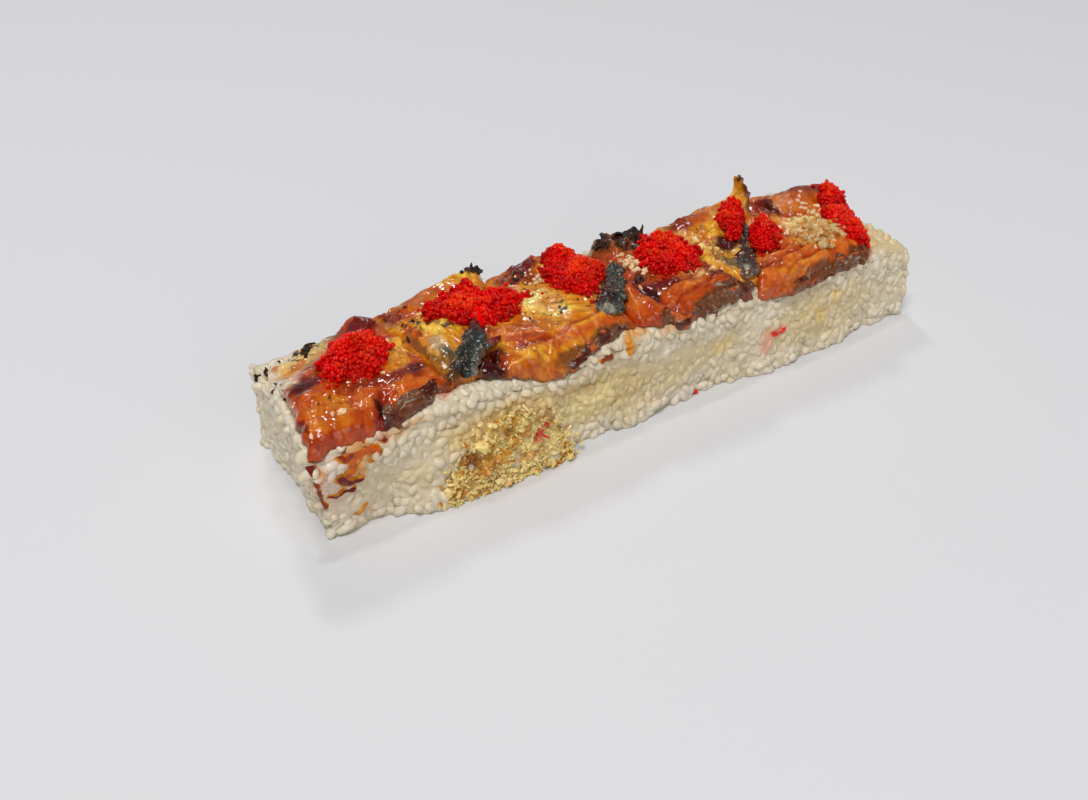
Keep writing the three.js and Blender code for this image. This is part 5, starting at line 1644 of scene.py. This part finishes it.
@dataclass
class RoeHeap:
    """A heap of small red eggs over its own core."""

    number: int
    heap: Heap
    egg: float = 1.42
    layers: tuple[tuple[float, float], ...] = ((0.0, 0.95), (0.45, 0.6))  # (rise, eggs for each mm2)
    rim: float = 9.0  # eggs on the flanks for each millimetre of the heap's size
    strays: int = 26

    def build(self) -> None:
        """Makes the eggs and the core under them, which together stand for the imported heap."""
        random = np.random.default_rng(200 + self.number)
        heap = self.heap
        area = np.pi * heap.half_length * heap.half_width
        centres = []
        for rise, density in self.layers:
            share, angle = heap.spots(random, int(area * density))
            plan = heap.place(share, angle)
            dome = heap.dome(share, plan) + rise + random.uniform(-0.25, 0.25, len(share))
            steep = ease(share, 0.82, 1) * random.uniform(0, 1, len(share))
            ground = rest_top(plan) - 0.5 + self.egg * 0.45
            z = np.maximum(ground + (dome - 0.55) * (1 - steep), ground)
            centres.append(raised(plan, z))
        rim = int(self.rim * np.hypot(heap.half_length, heap.half_width))
        share = random.uniform(0.86, 1.02, rim)
        plan = heap.place(share, random.uniform(0, 2 * np.pi, rim))
        ground = rest_top(plan) - 0.5
        z = ground + random.uniform(0.1, 0.9, rim) * (1.0 + heap.dome(share - 0.1, plan))
        centres.append(raised(plan, z))
        angle = random.uniform(0, 2 * np.pi, self.strays)
        plan = heap.place(random.uniform(1.0, 1.22, self.strays), angle)
        z = eel_top(plan) + 0.4 * self.egg
        centres.append(raised(plan, z))
        centres = np.concatenate(centres)
        centres = centres[beside_folds(centres[:, :2])]
        count = len(centres)
        sizes = self.egg * random.uniform(0.85, 1.12, (count, 1)) * random.uniform(0.94, 1.06, (count, 3))
        ground = rest_top(centres[:, :2])
        # Painted light: eggs high on the heap lean to the orange tone, a painted highlight, and low eggs to
        # the deep red, painted shade; noise and chance add real clumps of tone.
        high = ease((centres[:, 2] - ground) / heap.height, 0.2, 1.1)
        orange_and_painted_light = 0.5 * high - 0.15 + random.normal(0, 0.15, count) + 0.4 * lumps(centres, 3.5, 1)
        tint = mixed(ROE, ROE_ORANGE_AND_HIGHLIGHT, np.clip(orange_and_painted_light, 0, 1))
        tint = laid(tint, ROE_DEEP_RED_AND_SHADE, np.clip(0.5 * (1 - high) + 0.45 * lumps(centres, 4, 7), 0, 0.7))
        eggs = scattered(lozenge(8, 4, 2.0), centres, any_axes(random, count), sizes, tint, 0.6, random)
        core = heap.core(0.3, ROE)
        core.object(f"roe_core_{self.number}", ROE_FINISH, "roe", f"roe_heap_{self.number}")
        eggs.object(f"roe_eggs_{self.number}", ROE_FINISH, "roe")


ROE_HEAPS = tuple(
    RoeHeap(number, Heap(*sizes)) for number, sizes in enumerate((
        (-90.3, -1.2, 13.6, 9.8, 62, 4.8),
        (-47, 4.4, 14, 10.6, -16, 4.8),
        (-11, 4.5, 14.2, 9.4, 66, 5),
        (23.2, -0.8, 14.2, 9.4, 61, 5),
        (58.4, 5.8, 8.8, 4.4, 50, 4.8),
        (61.2, -7.2, 10.2, 4.8, 56, 4.6),
        (94.4, -11.2, 18.4, 6.2, 62, 3.4),
    ), 1)
)


@dataclass
class Toppings:
    """Chopped nuts, burnt flakes and shreds of crab."""

    nut_heap: Heap
    nut_bits: tuple[tuple[float, float, float], ...]  # (x, y, size) of the larger bits
    sprinkles: tuple[tuple[float, ...], ...]  # (x, y, reach x, reach y, count, least, largest)
    char_bits: tuple[tuple[float, ...], ...]  # (x, y, reach, count, size, height of the clump)

    def nuts(self) -> Shell:
        """All chopped nuts: the heap's, the larger single bits and the sprinkled ones."""
        random = np.random.default_rng(77)
        places, sizes = [], []
        share, angle = self.nut_heap.spots(random, 230)
        plan = self.nut_heap.place(share, angle)
        whole = noise(plan[:, 0] / 3.4, plan[:, 1] / 3.4, 3.0) + 0.9 * (1 - share) > -0.15
        share, plan = share[whole], plan[whole]
        rise = self.nut_heap.dome(share, plan) * random.uniform(0.5, 1.1, len(share))
        ground = rest_top(plan) - 0.4
        places.append(raised(plan, ground + rise))
        sizes.append(np.minimum(random.lognormal(0.78, 0.36, len(share)), 3.1))
        heap_count = len(share)
        singles = np.array(self.nut_bits)
        top = eel_top(singles[:, :2])
        places.append(raised(singles[:, :2], top + 0.2 * singles[:, 2]))
        sizes.append(singles[:, 2] * 0.9)
        for x, y, reach_x, reach_y, count, least, largest in self.sprinkles:
            spread = random.normal(0, 0.5, (count, 2)) * np.array([reach_x, reach_y]) + np.array([x, y])
            size = random.uniform(least, largest, count)
            top = eel_top(spread)
            places.append(raised(spread, top + 0.25 * size))
            sizes.append(size)
        centres, size = np.concatenate(places), np.concatenate(sizes)
        shape = random.uniform(0.6, 1.15, (len(size), 3))
        heaped = np.arange(len(size)) < heap_count
        share = random.uniform(0, 1, len(size)) * np.where(heaped, 0.2, 1)
        tint = mixed(NUT, NUT_PINK, share) * random.normal(1, 0.1, (len(size), 1))
        tint = tint * np.where(heaped, 0.8, 1)[:, None]
        toasted = random.uniform(0.2, 1, len(size)) * (random.uniform(0, 1, len(size)) < 0.6) * heaped
        brown = mixed(GOLD, TOAST, random.uniform(0, 1, len(size)))
        tint = between(tint, brown, toasted)
        axes = any_axes(random, len(size))
        return scattered(lozenge(6, 3, 2.0), centres, axes, size[:, None] * shape, tint, 0.2, random, 0.22)

    def flakes(self) -> Shell:
        """Burnt flakes, in small clumps on the slices."""
        random = np.random.default_rng(55)
        places, sizes = [], []
        for x, y, reach, count, size, clump in self.char_bits:
            spread = random.normal(0, 0.5 * reach, (count, 2)) + np.array([x, y])
            each = size * random.uniform(0.6, 1.3, count)
            top = eel_top(spread)
            places.append(raised(spread, top + 0.1 + clump * random.uniform(0, 1, count)))
            sizes.append(each)
        centres, size = np.concatenate(places), np.concatenate(sizes)
        shape = np.stack([random.uniform(0.8, 1.3, len(size)), random.uniform(0.6, 1.0, len(size)),
                          random.uniform(0.3, 0.6, len(size))], -1)
        tint = mixed(CHAR, BROWN, random.uniform(0, 0.25, len(size)))
        axes = any_axes(random, len(size))
        return scattered(lozenge(7, 3, 2.0), centres, axes, size[:, None] * shape, tint, 0.3, random, 0.2)

    def build(self) -> None:
        """Makes the nuts and the core of their heap, and the burnt flakes."""
        self.nut_heap.core(0.9, GOLD).object("nut_core", NUT_FINISH, "nut", "nut_heap")
        self.nuts().object("nut_bits", NUT_FINISH, "nut", smooth=False)
        self.flakes().object("burnt_flakes", CHAR_FINISH, "eel", smooth=False)


TOPPINGS = Toppings(
    nut_heap=Heap(76.6, -17.6, 11, 7.6, 20, 2.0),
    nut_bits=((-106, -24, 2.8), (-88.5, -14.5, 2.2), (-78, 2.4, 2.4), (-108.5, 1.5, 2), (-14, -9.5, 3),
              (9, 5, 2.4), (12.5, 8, 2.2), (7.6, -3.5, 2), (10, -6, 2.2), (2, -14, 2.2), (13.5, -4, 2),
              (12.6, 0.5, 2.4), (30, -16.5, 2), (16, -13, 2), (91.5, -2, 2.8), (87, -18.5, 2.6)),
    sprinkles=((12, 1, 5, 13, 44, 1.0, 2.2), (-23, 10, 6, 5, 14, 0.9, 2.0), (-15, -9, 3, 3, 5, 0.8, 1.8),
               (40, -2, 5, 10, 20, 0.5, 1.1), (74, -12, 16, 9, 44, 0.8, 2.2), (88, -2, 5, 9, 22, 0.9, 2.2),
               (56, -19, 12, 6, 14, 0.5, 1.0), (-106, -24, 2, 1.6, 5, 0.8, 1.4), (-114, -12, 1, 1, 2, 0.8,
                                                                                  1.2),
               (-63, 12, 5, 6, 10, 0.5, 1.2), (24, -16, 12, 5, 14, 0.5, 1.1), (-90, -14, 22, 8, 12, 0.4,
                                                                               0.8)),
    char_bits=((-111, 18.5, 2, 5, 2.4, 0.4), (-97, 17, 2, 5, 2.6, 0.6), (-99.5, 13.5, 1.4, 3, 1.6, 0.3),
               (-94, 22.5, 2.4, 5, 2.8, 0.5), (-112, 5.5, 1.2, 3, 1.7, 0.3), (-111.5, -2, 1.6, 3, 1.6, 0.3),
               (-104, 21, 3, 3, 1.0, 0.2), (20, 17, 8, 26, 2.2, 0.6), (12.5, 20, 3.4, 8, 2, 0.5),
               (-36.5, 23.5, 3, 16, 2.8, 1.2), (-26, 12, 4, 10, 1.6, 0.5), (-66, 8, 6, 12, 1.2, 0.3),
               (-29, 0, 2, 6, 1.1, 0.2), (-28, -13, 1.6, 5, 1.1, 0.2), (7, -9, 2, 5, 1.6, 0.3)),
)


@dataclass(frozen=True)
class Run:
    """A run of sauce down the front: its line as (x, z) knots, its half-width, depth and colour."""

    line: Pairs
    half_width: float
    depth: float
    tone: Tone


@dataclass(frozen=True)
class SauceSheet:
    """Sauce on a stretch of the front face, a film that stands out of the rice where it has run."""

    span: tuple[float, float]  # the stretch, as shares of the log's length
    runs: tuple[Run, ...]

    def shell(self) -> Shell:
        """A sheet that follows the rice and stands out of it where there is sauce.

        Its depth is the greatest of depth * (1 - (d / half-width)^2) over the runs, where d is
        the distance to a run's line, made uneven by noise. Where that is below zero the sheet
        lies hidden in the rice.

        Returns:
            The closed sheet.
        """
        columns = int((self.span[1] - self.span[0]) * RICE_LOG.length / 0.28)
        share, up = np.linspace(*self.span, columns), np.linspace(0.05, 0.985, 120)
        share, up = np.meshgrid(share, up, indexing="ij")
        face = RICE_LOG.surface_at(share, -np.ones(share.shape), up, np.ones(share.shape))
        place = face[..., [0, 2]] + 0.5 * np.stack([lumps(face, 2.2, 1), lumps(face, 2.2, 5)], -1)
        depth = np.full(share.shape, -2.0)
        tint = np.tile(GOLD.linear, (*share.shape, 1))
        for run in self.runs:
            rise = 1 - (distance_to_line(place, run.line) / run.half_width) ** 2
            depth = np.maximum(depth, run.depth * rise)
            tint = laid(tint, run.tone, ease(rise, -0.1, 0.7))
        depth = np.clip(depth + 0.12 * lumps(face, 1.3, 2), -1.8, 1.8)
        lean = 0.9 * ease(up, 0.8, 1)
        out = unit(np.stack([0 * lean, -1 + 0 * lean, lean], -1))
        upper = face + out * (0.3 + 0.75 * depth)[..., None]
        lower = face - out * 1.5
        points, triangles, used = slab(upper, lower)
        tint = np.tile(tint.reshape(-1, 3), (2, 1))[used]
        return Shell.of(points, triangles, tint, 1.0)


@dataclass
class FrontTraces:
    """What shows on the log's front: runs of sauce and shreds of crab."""

    sheets: tuple[SauceSheet, ...]
    shreds: tuple[tuple[float, ...], ...]  # (x, z, length, width, turn in degrees, lift)

    def build(self) -> None:
        """Makes the sauce and the shreds."""
        joined([sheet.shell() for sheet in self.sheets]).object("sauce_drips", SAUCE_FINISH, "eel")
        random = np.random.default_rng(9)
        rows = np.array(self.shreds)
        count = len(rows)
        normals = np.tile([0.0, -1.0, 0.0], (count, 1))
        axes = axes_on(normals, np.radians(rows[:, 4]), np.zeros(count))
        y = RICE_LOG.front_face(rows[:, 0], rows[:, 1]) - rows[:, 5]
        centres = np.stack([rows[:, 0], y, rows[:, 1]], -1)
        sizes = np.stack([rows[:, 2], rows[:, 3], 0.8 * rows[:, 3]], -1)
        tint = np.tile(CRAB.linear, (count, 1))
        shell = scattered(lozenge(8, 6, 3.0), centres, axes, sizes, tint, 0.5, random, 0.12)
        shell.points[:, 2] = np.maximum(shell.points[:, 2], FLOOR_CLEARANCE)
        shell.object("crab_shreds", CRAB_FINISH, "roe")


TRACES = FrontTraces(
    sheets=(
        SauceSheet((0.0, 0.13), (
            Run(((-108, 32), (-106.5, 27.5)), 3.0, 0.4, AMBER),
            Run(((-106.8, 27), (-107.5, 23.8), (-108.6, 20)), 1.3, 0.6, AMBER),
            Run(((-111.8, 29.4), (-109.5, 27.2), (-107.5, 27.6)), 0.9, 0.7, RUST),
            Run(((-103.4, 27.8), (-100.4, 26.8), (-99.8, 25), (-100.8, 24)), 1.2, 0.6, AMBER),
            Run(((-111, 21.4), (-109.2, 18.6), (-107.1, 17.2), (-104.7, 17.6)), 1.3, 0.8, MAROON),
            Run(((-113.3, 15.1), (-111.4, 14), (-110, 15.3), (-106.3, 14.6)), 0.75, 0.7, MAROON),
            Run(((-121.5, 36), (-120.2, 31), (-118.9, 26)), 1.5, 0.8, MAROON),
            Run(((-119, 26), (-118, 21.6), (-116.8, 17.5), (-115.5, 12.5)), 1.0, 0.7, RUST),
            Run(((-96.6, 33), (-97, 30.6), (-97.4, 28.4)), 1.1, 0.8, MAROON),
            Run(((-103, 7.2), (-105.4, 4.8)), 0.7, 0.3, GOLD),
        )),
        SauceSheet((0.32, 0.48), (
            Run(((-11.4, 34), (-12.6, 31)), 2.4, 1.9, AMBER),
            Run(((-12.6, 32), (-13.8, 28.8), (-14.4, 26.4)), 1.4, 2.0, GOLD),
            Run(((-20.6, 33), (-21.4, 30), (-22.6, 27.6)), 1.2, 2.0, MAROON),
            Run(((-24.4, 26.9), (-21.8, 27.2)), 1.1, 1.8, RUST),
            Run(((-38.6, 31), (-39, 28.4)), 0.7, 0.6, MAROON),
        )),
    ),
    shreds=((49.3, 13.9, 3.0, 1.5, 200, 0.3), (46.2, 13.2, 2.6, 1.3, 170, 0.3),
            (-48.5, 12.6, 6.0, 0.8, 140, 2.4), (-46.6, 15, 3.0, 0.7, 130, 2.0),
            (15.5, 0.9, 1.8, 1.5, 90, 0.6)),
)


@dataclass
class Studio:
    """A pale floor, soft light from above and a camera at the height of a seated guest."""

    camera_at: tuple[float, float, float] = (-216.34, -269.755, 216.0)
    right: tuple[float, float, float] = (0.81581072, -0.57831337, 0.00255232)
    down: tuple[float, float, float] = (-0.3168444, -0.450647, -0.83458188)
    forward: tuple[float, float, float] = (0.48380005, 0.68005216, -0.55087801)
    lens: float = 40.52
    sensor: float = 36.0
    floor_half: float = 4.0  # half the floor's side, in metres
    lamps: tuple[tuple[str, tuple[float, float, float], float, float], ...] = (
        ("key_light", (-1.4, -1.0, 3.1), 1.2, 77), ("front_light", (-0.2, -3.1, 1.3), 2.2, 25),
        ("small_light", (-0.2, 0.5, 3.2), 0.3, 13), ("back_light", (0.7, 2.2, 2.7), 0.5, 21),
    )  # (name, place, side of its square, power), in metres and watts
    sky: tuple[float, float, float, float] = (0.97, 0.98, 1.0, 1)
    sky_strength: float = 0.165

    def camera(self) -> None:
        """Makes the camera from its place and its three axes."""
        data = bpy.data.cameras.new("camera")
        data.lens = self.lens
        data.sensor_width = self.sensor
        data.sensor_fit = "HORIZONTAL"
        data.clip_start = 0.01
        camera = added("camera", data)
        axes = np.array([self.right, -np.array(self.down), -np.array(self.forward)]).T
        matrix = Matrix(axes.tolist()).to_4x4()
        matrix.translation = np.array(self.camera_at) * MM
        camera.matrix_world = matrix
        bpy.context.scene.camera = camera

    def floor(self) -> None:
        """Makes the floor, a wide plain square under the log."""
        half = self.floor_half
        mesh = bpy.data.meshes.new("floor")
        corners = [(-half, -half, 0), (half, -half, 0), (half, half, 0), (-half, half, 0)]
        mesh.from_pydata(corners, [], [(0, 1, 2, 3)])
        material = bpy.data.materials.new("pale_floor")
        material.use_nodes = True
        shader = material.node_tree.nodes["Principled BSDF"]
        shader.inputs["Base Color"].default_value = (*FLOOR.linear, 1)
        shader.inputs["Roughness"].default_value = 0.75
        shader.inputs["Specular IOR Level"].default_value = 0.2
        mesh.materials.append(material)
        added("floor", mesh)

    def lamp(self, name: str, at: tuple[float, float, float], size: float, power: float) -> None:
        """Makes one square soft light that looks at the log."""
        data = bpy.data.lights.new(name, "AREA")
        data.shape = "SQUARE"
        data.size = size
        data.energy = power
        lamp = added(name, data)
        outward = unit(np.array(at))
        axes = axes_on(outward[None], np.zeros(1), np.zeros(1))[0]
        lamp.rotation_euler = Matrix(axes.T.tolist()).to_euler()
        lamp.location = at

    def build(self) -> None:
        """Makes the floor, the lights and the camera."""
        self.floor()
        self.camera()
        for row in self.lamps:
            self.lamp(*row)
        world = bpy.data.worlds.new("studio")
        world.use_nodes = True
        background = world.node_tree.nodes["Background"]
        background.inputs["Color"].default_value = self.sky
        background.inputs["Strength"].default_value = self.sky_strength
        bpy.context.scene.world = world
        bpy.context.scene.view_settings.view_transform = "Standard"


def main() -> None:
    """Builds the sushi and its studio."""
    logging.basicConfig(level=logging.INFO, format="%(message)s")
    filling = CrumbFilling()
    RICE_LOG.build(filling.keep_out)
    filling.build()
    for slice_ in SLICES:
        slice_.build()
    StandingCorner().build()
    joined([edge.shell() for edge in SKIN_EDGES]).object("skin_edges", SKIN_FINISH, "skin")
    joined([flap.shell() for flap in BURNT_FLAPS]).object("burnt_flaps", CHAR_FINISH, "eel")
    for fold in FOLDS:
        fold.build()
    for roe in ROE_HEAPS:
        roe.build()
    TOPPINGS.build()
    TRACES.build()
    Studio().build()


if __name__ == "__main__":
    main()
